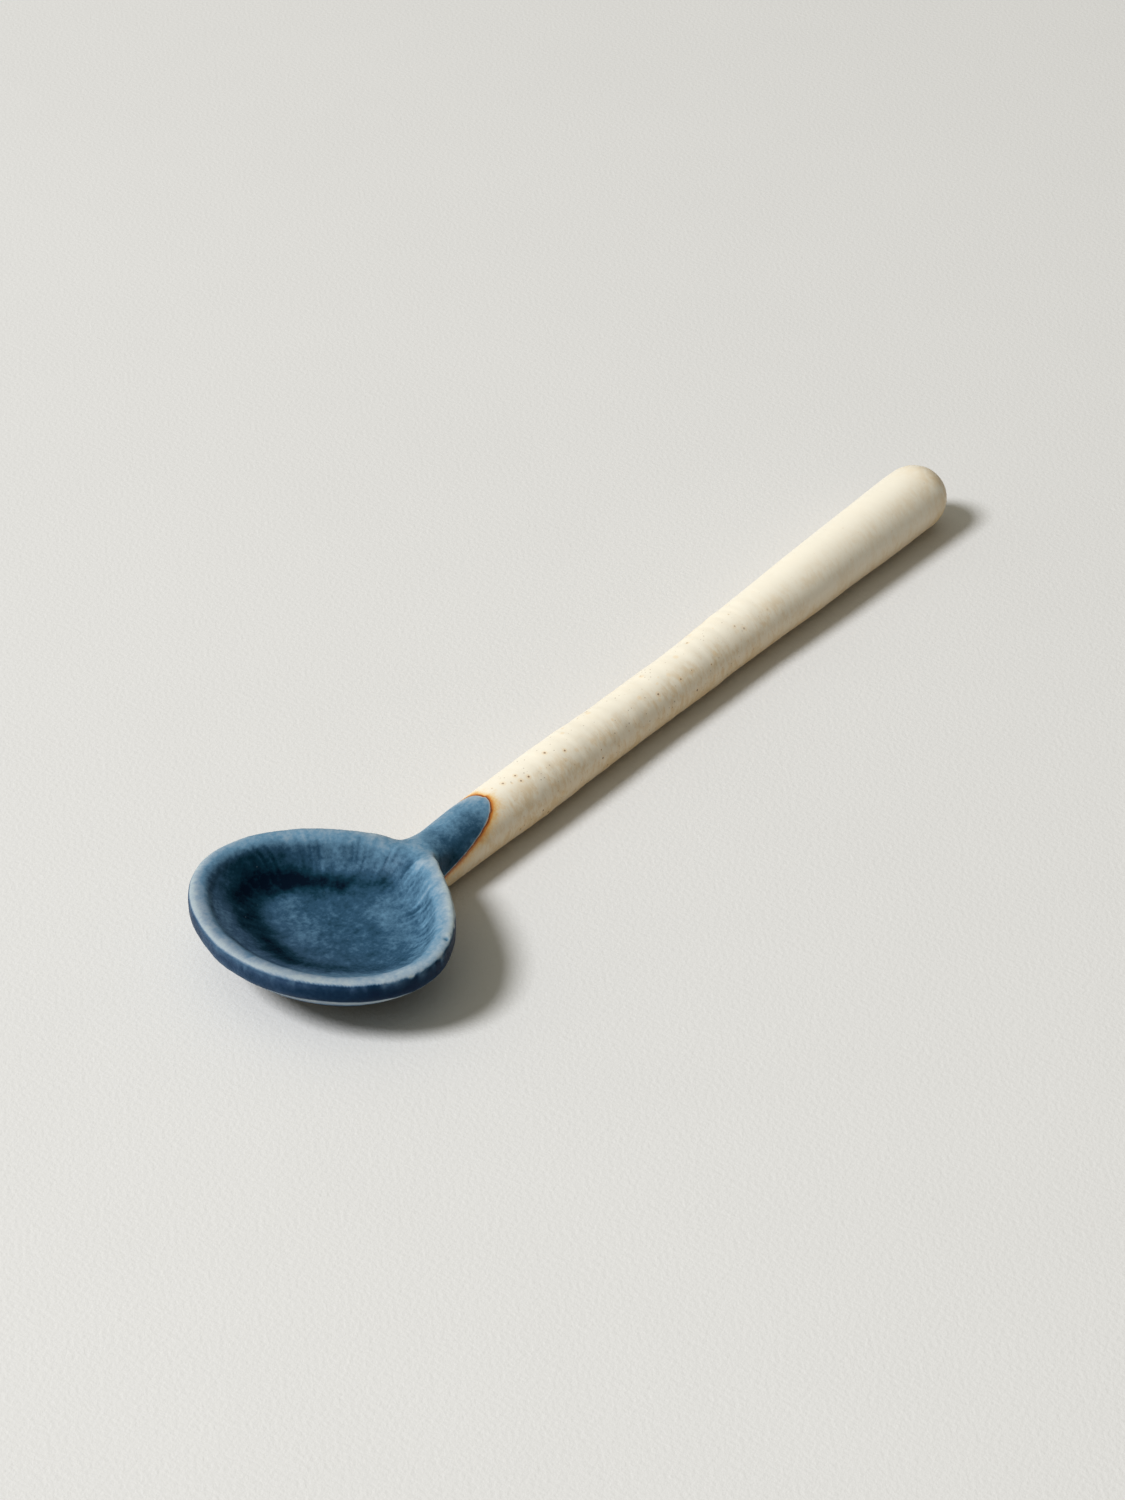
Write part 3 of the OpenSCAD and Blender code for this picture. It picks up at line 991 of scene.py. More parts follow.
def thickness(size, points, faces, edges):
    """Where the glaze has run together (towards 1) and where it has drawn off an edge (towards 0),
    and where it hangs as a curtain down the rim's outer side. Parts of it are painted light and
    shade:
    in the near crease, on the tongue's sides, under the curtain, on the crest's sharp edge and on
    the curtain's side that faces the lamp."""
    normals = normals_of(points, faces)
    near = relaxed(points, edges, np.ones(len(points)), DETAIL_ROUNDS)
    fine = ((near - points) * normals).sum(1)
    detail = np.clip(fine * DETAIL_GAIN, -DETAIL_MOST, DETAIL_MOST)
    bearing, inward, gap = bowl_places(size, points)
    inner = bowl_thickness(points, bearing, inward)
    outer, curtain = curtain_thickness(size, points, bearing)
    over = sides_of(bearing, "over near", "over far", "over right")
    steep, flat = [base + change * over for base, change in OVER_SLOPES]
    outside = rises("over the crest", over - inward) * (1 - rising(normals[:, 2], steep, flat))
    outside = np.maximum(outside, rises("underside", -normals[:, 2]))
    on_bowl = falls("glaze off bowl", gap)
    tongue = tongue_thickness(size, points)
    result = tongue + (inner + (outer - inner) * outside - tongue) * on_bowl
    # Painted shade in the near crease beside the neck, partly pooled glaze
    result += hollow(points, *CREASE_POOL_AND_PAINTED_SHADE)
    return np.clip(result + detail, 0, 1), curtain * outside * on_bowl


def round_the_bowl(bearing):
    """The seven values of GLAZE_ROUND at each bearing, smoothly joined."""
    table = np.array(GLAZE_ROUND)
    degrees = np.arange(-180, 180)
    values = []
    for column in table.T[1:]:
        line = np.interp(degrees, table[:, 0], column, period=360)
        turned = [np.roll(line, turn) for turn in range(-JOIN_DEGREES, JOIN_DEGREES + 1)]
        values.append(np.interp(np.degrees(bearing), degrees, np.mean(turned, axis=0), period=360))
    return values


def bowl_thickness(points, bearing, inward):
    """The glaze inside the bowl: thin on the crest, with a painted highlight along its sharp outer
    edge, pooled in a ring at the foot of the wall.
    """
    edge, crest, wall, ring, width, deep, feather = round_the_bowl(bearing)
    inward = inward - sides_of(bearing, "all farther in")
    arc = bearing * GLAZE_RADIUS + patches("glaze bend", *points.T)
    outer = falls("glaze wall", inward)
    lane = outer * patches("glaze lanes", arc, inward)
    broad = outer * patches("glaze waves", arc, inward)
    crest = crest + feather * (CREST_FEATHER[0] * lane + CREST_FEATHER[1] * broad)
    wall = wall + feather * (WALL_FEATHER[0] * lane + WALL_FEATHER[1] * broad)
    clear = np.clip(CLEAR_FROM + lane + broad / 2, 0, 1)
    streaks = sides_of(bearing, "streaks") * swell(inward, *STREAK_IN)
    wall -= streaks * (STREAK_THIN[0] + STREAK_THIN[1] * clear)
    pool = deep * swell(inward, ring + RING_WAVE * broad, width)
    floor = FLOOR_THICK + sides_of(bearing, "floor left") + patches("glaze floor", *points.T)
    floor += sides_of(bearing, "floor right") * outer
    mixed = wall + (floor - wall) * rises("wall to floor", inward - ring) + pool
    # Painted highlight on the crest's sharp outer edge, partly thin glaze breaking over it
    start = edge + EDGE_WAVE * broad - sides_of(bearing, "sharp edge painted highlight") * swell(inward, *EDGE_HIGHLIGHT_IN)
    low = crest * CREST_BEGIN
    wide = np.maximum(CREST_LEAST, crest * CREST_WIDER + CREST_WIDE)
    return start + (mixed - start) * rising(inward, low, low + wide)


def curtain_thickness(size, points, bearing):
    """The glaze outside: a thick dark curtain on the rim's side, painted paler on its side that
    faces the lamp, and thin and pale again at its lower edge as painted bounce light from the paper.
    """
    up = undipped(size, bearing, points[:, 2]) - size.roll_z
    arc = bearing * GLAZE_RADIUS
    drips = FEWEST_DRIPS + sides_of(bearing, "drips")
    runs = np.minimum(patches("glaze runs", arc), RUN_MOST) - RUN_MIDDLE
    top = size.rim_tall * CURTAIN_TOP + sides_of(bearing, "curtain low") + RUN_LONG * drips * runs
    low = size.rim_tall * CURTAIN_FOOT + patches("curtain edge", arc)
    curtain = rises("curtain root", np.abs(np.degrees(bearing)))
    curtain = curtain * falls("curtain top", up - top) * falls("curtain foot", -up - low)
    # Painted bounce light from the paper: the strip under the curtain is made pale
    under = PAINTED_BOUNCE_THICK + sides_of(bearing, "under painted bounce")
    under += (BELLY_THICK - under) * rises("belly", -up)
    crest = CREST_THICK + sides_of(bearing, "crest right", "crest far")
    bare = crest + (under - crest) * rises("below the roll", -up)
    # Painted light: the curtain is made thinner and paler on the side that faces the lamp
    light = sides_of(bearing, "lamp side painted light")
    heavy = CURTAIN_THICK + sides_of(bearing, "heavy near") - PAINTED_LIGHT_THIN * light
    gaps = np.clip(patches("glaze gaps", arc), 0, 1)
    heavy -= GAP_THIN * gaps * drips * rises("gaps up", up)
    return bare + (heavy - bare) * curtain, curtain * (1 - PAINTED_LIGHT_PALE * light)


def tongue_thickness(size, points):
    """The glaze on the handle: thin along the far side as painted light, thin at the end, thick at
    the near crease, partly pooled glaze and partly painted shade.
    """
    x, y, z = points.T
    around = np.degrees(np.arctan2(y, z - handle_radius(size, x)))
    # Painted light on the tongue's far side, which faces the lamp, and painted shade on its near
    # side
    value = TONGUE_THICK + rises("tongue far painted light", around) + rises("tongue near painted shade", -around)
    value += rises("tongue end", x) + falls("tongue root", x) * falls("tongue top", -around)
    # The first spot, at the near crease, is partly painted shade
    for amount, along, length_x, across, length_y in TONGUE_SPOTS:
        value += amount * swell(x, along, length_x) * swell(y, across, length_y)
    return value + patches("tongue", x, y, z)


def cut_along(points, faces, value, layers):
    """Splits the triangles that a line of value 0 crosses. Returns all four, with the new points."""
    value = np.where(np.abs(value) < SNAP, 0, value)
    side = np.sign(value)
    pairs = [(0, 1), (1, 2), (2, 0)]
    crossed = [side[faces[:, i]] * side[faces[:, j]] < 0 for i, j in pairs]
    whole = ~(crossed[0] | crossed[1] | crossed[2])
    cuts = np.concatenate([faces[crossed[n]][:, list(pairs[n])] for n in range(3)])
    unique = np.unique(np.sort(cuts, axis=1), axis=0)
    a, b = unique.T
    share = value[a] / (value[a] - value[b])
    count = len(points)

    def lengthened(line):
        step = share.reshape(-1, *[1] * (line.ndim - 1))
        return np.concatenate([line, line[a] + (line[b] - line[a]) * step])

    number = {(int(i), int(j)): count + n for n, (i, j) in enumerate(unique)}
    added = []
    for face in faces[~whole]:
        corners = [int(v) for v in face]
        loop = []
        for i, j in zip(corners, corners[1:] + corners[:1]):
            loop.append(i)
            if side[i] * side[j] < 0:
                loop.append(number[min(i, j), max(i, j)])
        added += triangles_of_loop(loop, count)
    faces = np.concatenate([faces[whole], np.array(added, np.int32).reshape(-1, 3)])
    value = lengthened(value)
    value[count:] = 0
    layers = {name: lengthened(line) for name, line in layers.items()}
    return lengthened(points), faces, value, layers


def triangles_of_loop(loop, first_new):
    """Triangles of a cut triangle's outline, none of which crosses the cut."""
    news = [n for n, v in enumerate(loop) if v >= first_new]
    turned = loop[news[0]:] + loop[:news[0]]
    if len(loop) == 4:
        return [turned[:3], [turned[0], turned[2], turned[3]]]
    if turned[2] < first_new:
        turned = loop[news[1]:] + loop[:news[1]]
    return [turned[:3], [turned[0], turned[2], turned[3]], [turned[0], turned[3], turned[4]]]


def coat(points, faces, normals, depth):
    """A closed coat of that depth under some triangles of the skin."""
    used = np.unique(faces)
    place = np.full(len(points), -1)
    place[used] = np.arange(len(used))
    outer = place[faces]
    count = len(used)
    inner = outer[:, ::-1] + count
    directed = np.concatenate([outer[:, [0, 1]], outer[:, [1, 2]], outer[:, [2, 0]]])
    key = directed[:, 0].astype(np.int64) * count + directed[:, 1]
    back = directed[:, 1].astype(np.int64) * count + directed[:, 0]
    border = directed[~np.isin(key, back)]
    a, b = border.T
    sides = [np.stack([b, a, a + count], axis=1), np.stack([b, a + count, b + count], axis=1)]
    both = np.concatenate([points[used], points[used] - normals[used] * depth])
    return both, np.concatenate([outer, inner, *sides]), used, border


skins = {}


def glazed_skin(scene):
    """The glazed surface for the sizes on the panel, made once and kept."""
    size = measured(scene)
    key = tuple(vars(size).values())
    if key not in skins:
        skins[key] = new_skin(size)
    return skins[key]


def new_skin(size):
    """The whole glazed surface, cut along the edges of the glazes."""
    points, faces, edges = fused_form(size)
    normals = normals_of(points, faces)
    points = points + normals * relief(size, points, normals)[:, None]
    points[:, 2] = np.maximum(points[:, 2], 0)
    thick, curtain = thickness(size, points, faces, edges)
    layers = {"thick": thick, "curtain": curtain, "seam": seam_distance(size, points)}
    blue = np.minimum(bowl_places(size, points)[2] - BLUE_OUT, layers["seam"])
    points, faces, blue, layers = cut_along(points, faces, blue, layers)
    layers["blue"] = blue
    rest = np.where(blue > 0, layers["seam"] - size.flash_w, -1)
    points, faces, _, layers = cut_along(points, faces, rest, layers)
    wipe = points[:, 2] - size.foot_wipe
    points, faces, _, layers = cut_along(points, faces, wipe, layers)
    seam = layers["seam"]
    blue_face = layers.pop("blue")[faces].mean(1) <= 0
    cream_face = ~blue_face & (seam[faces].mean(1) >= size.flash_w)
    kinds = {
        "blue": blue_face & (points[faces].mean(1)[:, 2] > size.foot_wipe),
        "rust": ~blue_face & ~cream_face,
        "cream": cream_face,
    }
    layers["seam"] = seam - falls("seam off bowl", bowl_places(size, points)[2])
    return SimpleNamespace(points=points, faces=faces, kinds=kinds, size=size,
                           normals=normals_of(points, faces), layers=layers)


def glaze_piece(name, kind, node, finish, scene):
    """One glaze coat as a closed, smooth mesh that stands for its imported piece."""
    skin = glazed_skin(scene)
    faces = skin.faces[skin.kinds[kind]]
    depth = skin.size.glaze_t * COAT_SHARE
    points, faces, used, border = coat(skin.points, faces, skin.normals, depth)
    piece = smooth_piece(name, points * MM, faces, finish)
    mesh = piece.data
    for title, values in skin.layers.items():
        layer = mesh.attributes.new(title, "FLOAT", "POINT")
        layer.data.foreach_set("value", np.tile(values[used], 2).astype(np.float32))
    mark_sharp(mesh, border, len(used))
    mesh.validate()
    mesh.update()
    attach(piece, BODY)
    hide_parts(node)
    return piece


def mark_sharp(mesh, border, count):
    """Keeps the shading of a coat's outside apart from that of its thin edge."""
    keys = np.sort(np.concatenate([border, border + count]), axis=1).astype(np.int64)
    pairs = np.zeros(len(mesh.edges) * 2, np.int32)
    mesh.edges.foreach_get("vertices", pairs)
    pairs = np.sort(pairs.reshape(-1, 2), axis=1).astype(np.int64)
    wide = 2 * count + 1
    sharp = np.isin(pairs @ [wide, 1], keys @ [wide, 1])
    layer = mesh.attributes.new("sharp_edge", "BOOLEAN", "EDGE")
    layer.data.foreach_set("value", sharp)


class Tree:
    """Short ways to lay out the nodes of one material or node group."""

    def __init__(self, tree):
        self.tree = tree

    def add(self, kind, inputs=(), **settings):
        node = self.tree.nodes.new(kind)
        for name, value in settings.items():
            setattr(node, name, value)
        for name, value in dict(inputs).items():
            self.put(node.inputs[name], value)
        return node

    def put(self, socket, value):
        if isinstance(value, bpy.types.NodeSocket):
            self.tree.links.new(value, socket)
        else:
            socket.default_value = opaque(value) if socket.type == "RGBA" else value

    def math(self, operation, *values, clamp=False):
        node = self.add("ShaderNodeMath", enumerate(values), operation=operation, use_clamp=clamp)
        return node.outputs[0]

    def plus(self, first, second, clamp=False):
        return self.math("ADD", first, second, clamp=clamp)

    def times(self, first, second):
        return self.math("MULTIPLY", first, second)

    def blend(self, share, first, second):
        """Two values, with that share of the second."""
        return self.plus(self.times(first, 1 - share), self.times(second, share))

    def swing(self, mask, amount):
        """A mask from 0 to 1 as a value that swings round 0."""
        return self.times(self.math("SUBTRACT", mask, 0.5), amount)

    def band(self, name, value, *ends):
        """The value, moved smoothly from one range to another, as BANDS says."""
        low, high, *usual = BANDS[name]
        node = self.add("ShaderNodeMapRange", interpolation_type="SMOOTHSTEP", clamp=True)
        for socket, number in zip(node.inputs, (value, low, high, *(ends or usual or (0.0, 1.0)))):
            self.put(socket, number)
        return node.outputs[0]

    def mix(self, share, first, second):
        inputs = {0: share, 6: first, 7: second}
        return self.add("ShaderNodeMix", inputs=inputs, data_type="RGBA").outputs[2]

    def stretched(self, coords, scale):
        inputs = {0: coords, 1: scale}
        return self.add("ShaderNodeVectorMath", inputs, operation="MULTIPLY").outputs[0]

    def layer(self, name):
        """One of the values that the mesh carries at each point."""
        return self.add("ShaderNodeAttribute", attribute_name=name).outputs["Fac"]

    def cloud(self, coords, scale, detail=2.0, rough=0.5):
        inputs = {"Vector": coords, "Scale": scale, "Detail": detail, "Roughness": rough}
        return self.add("ShaderNodeTexNoise", inputs).outputs["Fac"]

    def ramp(self, share, stops):
        node = self.add("ShaderNodeValToRGB", {"Fac": share})
        places = node.color_ramp.elements
        while len(places) < len(stops):
            places.new(0.5)
        for element, (position, colour) in zip(places, stops):
            element.position = position
            element.color = opaque(colour)
        return node.outputs["Color"]

    def group(self, name, **inputs):
        node = self.add("ShaderNodeGroup", node_tree=bpy.data.node_groups[name])
        for title, value in inputs.items():
            self.put(node.inputs[title.replace("_", " ")], value)
        return node.outputs[0]


def new_group(name, inputs, output, output_kind="NodeSocketFloat"):
    """An empty node group with named inputs and one output."""
    tree = bpy.data.node_groups.new(name, "ShaderNodeTree")
    for title, kind, value in inputs:
        socket = tree.interface.new_socket(title, in_out="INPUT", socket_type=kind)
        if value is not None:
            socket.default_value = value
    tree.interface.new_socket(output, in_out="OUTPUT", socket_type=output_kind)
    inner = Tree(tree)
    return inner, inner.add("NodeGroupInput").outputs, inner.add("NodeGroupOutput").inputs


def make_mottle():
    """Soft cloudy patches with finer ones inside them."""
    t, given, out = new_group("Glaze mottle", [
        ("Coords", "NodeSocketVector", None),
        ("Size", "NodeSocketFloat", 0.5),
        ("Contrast", "NodeSocketFloat", 1.0),
    ], "Mask")
    coarse = t.cloud(given["Coords"], given["Size"], detail=3.0, rough=0.6)
    fine = t.cloud(given["Coords"], t.times(given["Size"], FINER))
    both = t.blend(FINE_SHARE, coarse, fine)
    t.put(out["Mask"], t.plus(t.swing(both, given["Contrast"]), 0.5, clamp=True))


def make_specks():
    """Scattered round specks of uneven size."""
    t, given, out = new_group("Iron specks", [
        ("Coords", "NodeSocketVector", None),
        ("Density", "NodeSocketFloat", 1.0),
        ("Size", "NodeSocketFloat", 0.15),
        ("Share", "NodeSocketFloat", 0.5),
    ], "Mask")
    cells = t.add("ShaderNodeTexVoronoi", {"Vector": given["Coords"], "Scale": given["Density"]})
    draw = t.add("ShaderNodeSeparateColor", {"Color": cells.outputs["Color"]})
    chosen = t.math("LESS_THAN", draw.outputs[0], given["Share"])
    reach = t.times(given["Size"], t.plus(draw.outputs[1], LEAST_SPECK))
    wobble = t.swing(t.cloud(given["Coords"], WOBBLE_FINE), WOBBLE)
    away = t.plus(cells.outputs["Distance"], wobble)
    spot = t.band("speck edge", t.math("DIVIDE", away, reach))
    t.put(out["Mask"], t.times(chosen, spot))


def make_grain():
    """A fine uneven surface, as a normal."""
    t, given, out = new_group("Surface grain", [
        ("Coords", "NodeSocketVector", None),
        ("Size", "NodeSocketFloat", 2.0),
        ("Depth", "NodeSocketFloat", 0.00002),
        ("Strength", "NodeSocketFloat", 0.5),
    ], "Normal", "NodeSocketVector")
    rough = t.cloud(given["Coords"], given["Size"], detail=3.0, rough=0.55)
    inputs = {"Strength": given["Strength"], "Distance": given["Depth"], "Height": rough}
    t.put(out["Normal"], t.add("ShaderNodeBump", inputs).outputs["Normal"])


class Finish(Tree):
    """The node layout of one material, with its coordinates in millimetres."""

    def __init__(self, name, colour, roughness):
        self.material = bpy.data.materials.new(name)
        self.material.use_nodes = True
        self.material.diffuse_color = opaque(colour)
        super().__init__(self.material.node_tree)
        self.shader = self.tree.nodes["Principled BSDF"].inputs
        self.shader["Roughness"].default_value = roughness
        place = self.add("ShaderNodeTexCoord").outputs["Object"]
        self.coords = self.stretched(place, (1 / MM,) * 3)

    def mottle(self, size, contrast):
        return self.group("Glaze mottle", Coords=self.coords, Size=size, Contrast=contrast)

    def specks(self, density, size, share):
        return self.group("Iron specks", Coords=self.coords, Density=density, Size=size,
                          Share=share)

    def finished(self, colour, grain):
        """The material, with its colour and its fine grain, as GRAINS says."""
        size, depth, strength = GRAINS[grain]
        self.put(self.shader["Base Color"], colour)
        self.put(self.shader["Normal"], self.group("Surface grain", Coords=self.coords, Size=size,
                                                   Depth=depth, Strength=strength))
        return self.material


def opaque(colour):
    return (*colour, 1)


def darker(colour, share):
    return [share * part for part in colour]


def blue_finish(colours):
    """A satin blue glaze: pale where it breaks over edges, nearly black where it pools."""
    t = Finish("blue_glaze_finish", colours.blue_mid, roughness=0.4)
    cloudy = t.mottle(size=0.42, contrast=2.2)
    fine = t.mottle(size=1.9, contrast=2.0)
    share = t.plus(t.layer("thick"), t.swing(cloudy, BLUE_CLOUDS))
    share = t.plus(share, t.swing(fine, BLUE_MOTTLE))
    share = t.math("SUBTRACT", share, t.band("blue edge", t.layer("seam")), clamp=True)
    colour = t.ramp(share, [(place, getattr(colours, name)) for place, name in BLUE_STOPS])
    along = t.add("ShaderNodeSeparateXYZ", {"Vector": t.coords}).outputs["X"]
    cast = t.times(t.band("violet front", along), t.band("violet thin", share))
    colour = t.mix(cast, colour, t.mix(0.5, colour, colours.violet))
    colour = t.mix(t.times(t.layer("curtain"), CURTAIN_DARK), colour, colours.curtain)
    pale = t.specks(density=1.1, size=0.11, share=0.16)
    colour = t.mix(t.times(pale, PALE_SPECKS), colour, colours.blue_thin)
    t.shader["Specular IOR Level"].default_value = 0.05
    t.put(t.shader["Roughness"], t.band("blue roughness", fine))
    return t.finished(colour, "blue")


def tan_share(t, place, clouds):
    """How tan the cream glaze is: mottled, less so on top, more so below and at the tip."""
    long_coords = t.stretched(t.coords, RINGS_LONG)
    rings = t.group("Glaze mottle", Coords=long_coords, Size=1.5, Contrast=2.5)
    tan = t.blend(TAN_RINGS, clouds, rings)
    clean = t.times(t.band("clean up", place["Z"]), t.band("clean across", place["Y"]))
    kept = t.math("SUBTRACT", 1.0, t.times(clean, CLEAN_SHARE))
    tan = t.times(t.band("tan", tan), t.times(t.band("tan belt", place["X"]), kept))
    low = t.band("tan low", t.plus(place["Z"], t.times(clouds, LOW_WAVE)))
    tip = t.times(t.band("tip", place["X"]), t.band("tip clouds", clouds))
    return t.plus(t.plus(tan, low), tip, clamp=True)


def cream_finish(colours):
    """A soft cream glaze with tan mottling, iron specks and a rusty halo beside the blue."""
    t = Finish("cream_glaze_finish", colours.cream_base, roughness=0.42)
    place = t.add("ShaderNodeSeparateXYZ", {"Vector": t.coords}).outputs
    clouds = t.mottle(size=0.22, contrast=2.4)
    colour = t.mix(tan_share(t, place, clouds), colours.cream_base, colours.cream_tan)
    patchy = t.mottle(size=0.7, contrast=2.2)
    fading = t.times(t.layer("seam"), t.band("halo fading", patchy))
    halo = t.times(t.math("POWER", HALO_BASE, fading), HALO_STRONG)
    colour = t.mix(t.band("amber", halo), colour, colours.amber)
    colour = t.mix(t.band("halo", halo), colour, colours.halo)
    large = t.specks(density=0.75, size=0.135, share=0.42)
    small = t.specks(density=1.5, size=0.17, share=0.5)
    rings = t.specks(density=0.75, size=0.36, share=0.42)
    belt = t.times(t.band("specks start", place["X"]), t.band("specks end", place["X"]))
    specks = t.times(t.math("MAXIMUM", large, t.times(small, SMALL_SPECKS)), belt)
    colour = t.mix(t.times(t.times(rings, belt), SPECK_RINGS), colour, colours.amber)
    colour = t.mix(t.times(specks, SPECKS_DARK), colour, colours.speck)
    t.put(t.shader["Roughness"], t.band("cream roughness", clouds))
    return t.finished(colour, "cream")


def rust_finish(colours, line_mm):
    """The line where the dips overlap: a thin pale edge, a dark rusty core, an orange outer side."""
    t = Finish("rust_line_finish", colours.rust, roughness=0.45)
    wander = t.mottle(size=0.8, contrast=2.4)
    share = t.math("DIVIDE", t.layer("seam"), line_mm)
    share = t.plus(share, t.swing(wander, RUST_WANDER), clamp=True)
    pale = [(a + b) / 2 for a, b in zip(colours.blue_thin, colours.amber)]
    stops = zip(RUST_STOPS, (pale, colours.rust, colours.rust, colours.halo))
    return t.finished(t.ramp(share, list(stops)), "rust")


def clay_finish(name, colour, grog=0.5, roughness=0.85):
    """Bare fired clay with darker grains in it."""
    t = Finish(name, colour, roughness)
    clouds = t.mottle(size=0.3, contrast=1.8)
    body = t.mix(t.times(clouds, 0.5), colour, darker(colour, CLAY_CLOUD))
    grains = t.specks(density=1.5, size=0.22, share=grog)
    return t.finished(t.mix(t.times(grains, GROG_DARK), body, darker(colour, GROG_TONE)), "clay")


def paper_finish(stage):
    """Uncoated paper: nearly plain, with a very fine tooth."""
    t = Finish("paper_finish", stage.paper, roughness=0.85)
    clouds = t.mottle(size=0.02, contrast=1.2)
    tooth = t.mottle(size=1.1, contrast=1.6)
    t.shader["Specular IOR Level"].default_value = 0.2
    colour = t.mix(t.blend(0.5, clouds, tooth), stage.paper, darker(stage.paper, PAPER_SHADE))
    return t.finished(colour, "paper")


class SPOON_OT_finishes(Operator):
    """Builds the shared node groups and dresses the clay pieces that stay as they were packed"""

    bl_idname = "spoon.finishes"
    bl_label = "Clay finishes"

    def execute(self, context):
        colours = context.scene.spoon_glaze
        for make in (make_mottle, make_specks, make_grain):
            make()
        paler = tuple(min(1, SLIP_PALER * part) for part in colours.clay)
        finishes = {
            "handle_body": clay_finish("handle_clay_finish", colours.clay),
            "joint_slip": clay_finish("slip_finish", paler, grog=0.1, roughness=0.9),
        }
        for node, finish in finishes.items():
            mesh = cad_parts[node].data
            mesh.materials.clear()
            mesh.materials.append(finish)
        return {"FINISHED"}


class SPOON_OT_bowl(Operator):
    """Builds the stoneware bowl under the glaze"""

    bl_idname = "spoon.bowl"
    bl_label = "Stoneware bowl"

    def execute(self, context):
        size = measured(context.scene)
        clay = context.scene.spoon_glaze.clay
        points, faces = bowl_solid(size, -CLAY_UNDER * size.glaze_t, CLAY_SIDES, CLAY_FINE)
        finish = clay_finish("bowl_clay_finish", clay)
        piece = smooth_piece("stoneware_bowl", points * MM, faces, finish)
        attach(piece, BODY)
        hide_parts("bowl_body")
        return {"FINISHED"}


class SPOON_OT_coil(Operator):
    """Builds the coil of clay that is smoothed over the joint, under the glaze"""

    bl_idname = "spoon.coil"
    bl_label = "Neck coil"

    def execute(self, context):
        size = measured(context.scene)
        clay = context.scene.spoon_glaze.clay
        coil = neck_solid(size, -CLAY_UNDER * size.glaze_t, COIL_SIDES)
        points, faces = cut_away("coil", coil, core_solid(size, CORE_SIDES))
        finish = clay_finish("coil_clay_finish", clay, grog=0.35)
        piece = smooth_piece("smoothed_coil", points * MM, faces, finish)
        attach(piece, BODY)
        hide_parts("neck_coil")
        return {"FINISHED"}


class SPOON_OT_blue_glaze(Operator):
    """Builds the blue glaze coat of the bowl and its tongue up the handle"""

    bl_idname = "spoon.blue_glaze"
    bl_label = "Blue glaze"

    def execute(self, context):
        scene = context.scene
        finish = blue_finish(scene.spoon_glaze)
        glaze_piece("blue_glaze_coat", "blue", "bowl_glaze", finish, scene)
        return {"FINISHED"}


class SPOON_OT_cream_glaze(Operator):
    """Builds the cream glaze coat of the handle"""

    bl_idname = "spoon.cream_glaze"
    bl_label = "Cream glaze"

    def execute(self, context):
        scene = context.scene
        finish = cream_finish(scene.spoon_glaze)
        glaze_piece("cream_glaze_coat", "cream", "handle_glaze", finish, scene)
        return {"FINISHED"}


class SPOON_OT_rust_line(Operator):
    """Builds the rusty line between the two glazes"""

    bl_idname = "spoon.rust_line"
    bl_label = "Rust line"

    def execute(self, context):
        scene = context.scene
        finish = rust_finish(scene.spoon_glaze, scene.spoon_shape.flash_w / MM)
        glaze_piece("rust_line", "rust", "flash_line", finish, scene)
        return {"FINISHED"}


def paper_sheet(finish):
    """A large sheet of paper that lies flat under the spoon and rolls a little farther out."""
    line = np.linspace(-1, 1, PAPER_LINES)
    line = PAPER_HALF * signed_power(line, 2)
    x, y = [side.ravel() for side in np.meshgrid(line, line, indexing="ij")]
    far = rising(np.hypot(x, y), PAPER_FLAT, PAPER_HALF)
    top = np.stack([x, y, -PAPER_ROLL * far * (1 + patches("paper", x, y))], axis=-1)
    i, j = np.meshgrid(range(PAPER_LINES - 1), range(PAPER_LINES - 1), indexing="ij")
    a = (i * PAPER_LINES + j).ravel()
    c = a + PAPER_LINES + 1
    faces = np.concatenate([np.stack([a, c - 1, c], axis=1), np.stack([a, c, a + 1], axis=1)])
    return smooth_piece("paper", top, faces, finish)


def lamp(name, power, colour, width, place, target):
    light = bpy.data.lights.new(name, "AREA")
    light.shape = "DISK"
    light.size = width
    light.energy = power
    light.color = colour
    thing = bpy.data.objects.new(name, light)
    thing.location = place
    thing.rotation_euler = (Vector(target) - Vector(place)).to_track_quat("-Z", "Y").to_euler()
    bpy.context.scene.collection.objects.link(thing)
    return thing


def camera_of(stage, target):
    heading, down = math.radians(stage.heading), math.radians(stage.down)
    forward = Vector((math.cos(heading) * math.cos(down), math.sin(heading) * math.cos(down),
                      -math.sin(down)))
    camera = bpy.data.cameras.new("camera")
    camera.sensor_fit = "VERTICAL"
    camera.sensor_height = SENSOR
    camera.lens = stage.lens
    camera.clip_start = NEAREST
    holder = bpy.data.objects.new("camera", camera)
    holder.location = target - forward * stage.distance
    holder.rotation_euler = forward.to_track_quat("-Z", "Y").to_euler()
    bpy.context.scene.collection.objects.link(holder)
    return holder


def room_of(stage):
    """The room's light, which comes mostly from one side."""
    world = bpy.data.worlds.new("room")
    world.use_nodes = True
    sky = world.node_tree.nodes["Background"]
    sky.inputs["Color"].default_value = opaque(stage.fill_tint)
    t = Tree(world.node_tree)
    way = t.add("ShaderNodeVectorMath", operation="DOT_PRODUCT")
    t.put(way.inputs[0], t.add("ShaderNodeTexCoord").outputs["Generated"])
    t.put(way.inputs[1], Vector(FILL_FROM).normalized())
    strength = t.band("room", way.outputs["Value"], stage.fill_low, stage.fill)
    t.put(sky.inputs["Strength"], strength)
    return world


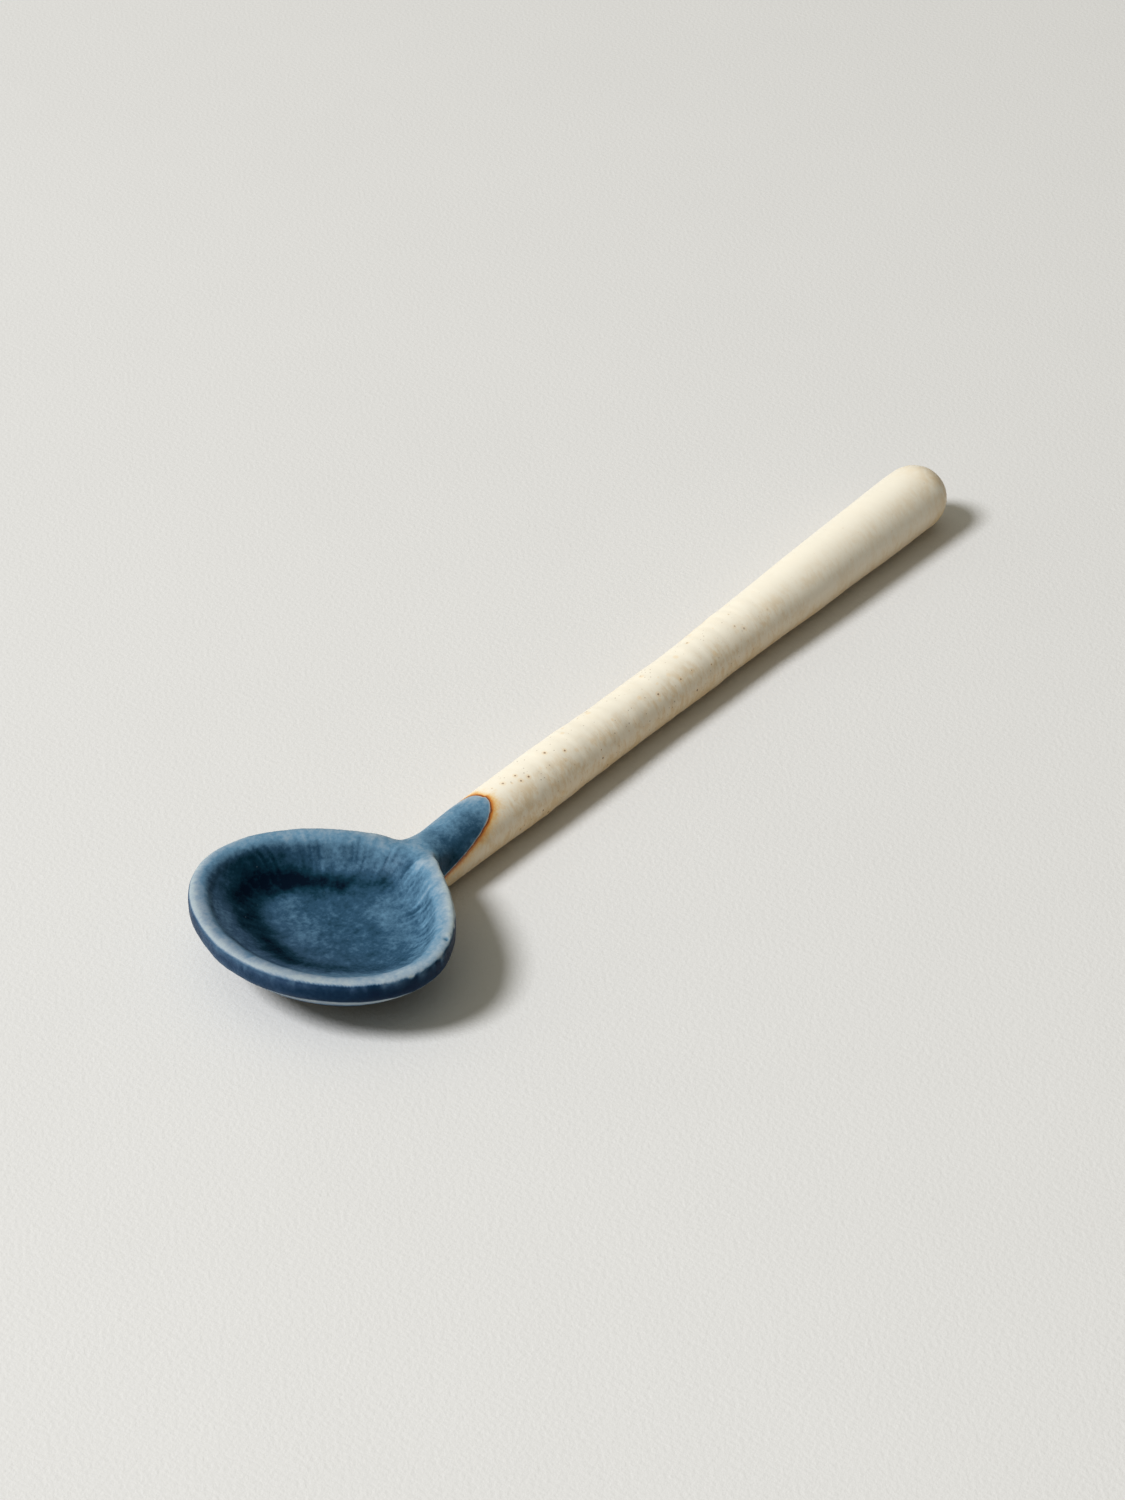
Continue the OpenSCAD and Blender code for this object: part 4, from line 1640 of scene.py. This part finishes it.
class SPOON_OT_stage(Operator):
    """Lays the paper and sets the camera and the light"""

    bl_idname = "spoon.stage"
    bl_label = "Camera, light and paper"

    def execute(self, context):
        scene = context.scene
        stage = scene.spoon_stage
        paper_sheet(paper_finish(stage))
        target = Vector((stage.look_x, stage.look_y, 0))
        scene.camera = camera_of(stage, target)
        key = target + Vector(KEY_FROM).normalized() * stage.key_far
        lamp("key", stage.key_power, stage.key_tint, stage.key_size, key, target)
        scene.world = room_of(stage)
        scene.view_settings.view_transform = "Standard"
        return {"FINISHED"}


class SPOON_PT_panel(Panel):
    """Lists the spoon's sizes, colours and steps"""

    bl_label = "Spoon"
    bl_idname = "SPOON_PT_panel"
    bl_space_type = "VIEW_3D"
    bl_region_type = "UI"
    bl_category = "Spoon"

    def draw(self, context):
        scene = context.scene
        groups = {"Shape": scene.spoon_shape, "Colours": scene.spoon_glaze,
                  "Stage": scene.spoon_stage}
        for title, group in groups.items():
            box = self.layout.box()
            box.label(text=title)
            for name in group.__annotations__:
                box.prop(group, name)
        for step in STEPS:
            self.layout.operator(step.bl_idname)


GROUPS = {"spoon_shape": SpoonShape, "spoon_glaze": SpoonGlaze, "spoon_stage": SpoonStage}
STEPS = (SPOON_OT_finishes, SPOON_OT_bowl, SPOON_OT_coil, SPOON_OT_blue_glaze,
         SPOON_OT_cream_glaze, SPOON_OT_rust_line, SPOON_OT_stage)


def register():
    for cls in (*GROUPS.values(), *STEPS, SPOON_PT_panel):
        bpy.utils.register_class(cls)
    for name, group in GROUPS.items():
        setattr(bpy.types.Scene, name, PointerProperty(type=group))


def unregister():
    for name in GROUPS:
        delattr(bpy.types.Scene, name)
    for cls in (SPOON_PT_panel, *STEPS[::-1], *GROUPS.values()):
        bpy.utils.unregister_class(cls)


def main():
    register()
    bpy.ops.spoon.finishes()
    bpy.ops.spoon.bowl()
    bpy.ops.spoon.coil()
    bpy.ops.spoon.blue_glaze()
    bpy.ops.spoon.cream_glaze()
    bpy.ops.spoon.rust_line()
    bpy.ops.spoon.stage()


if __name__ == "__main__":
    main()
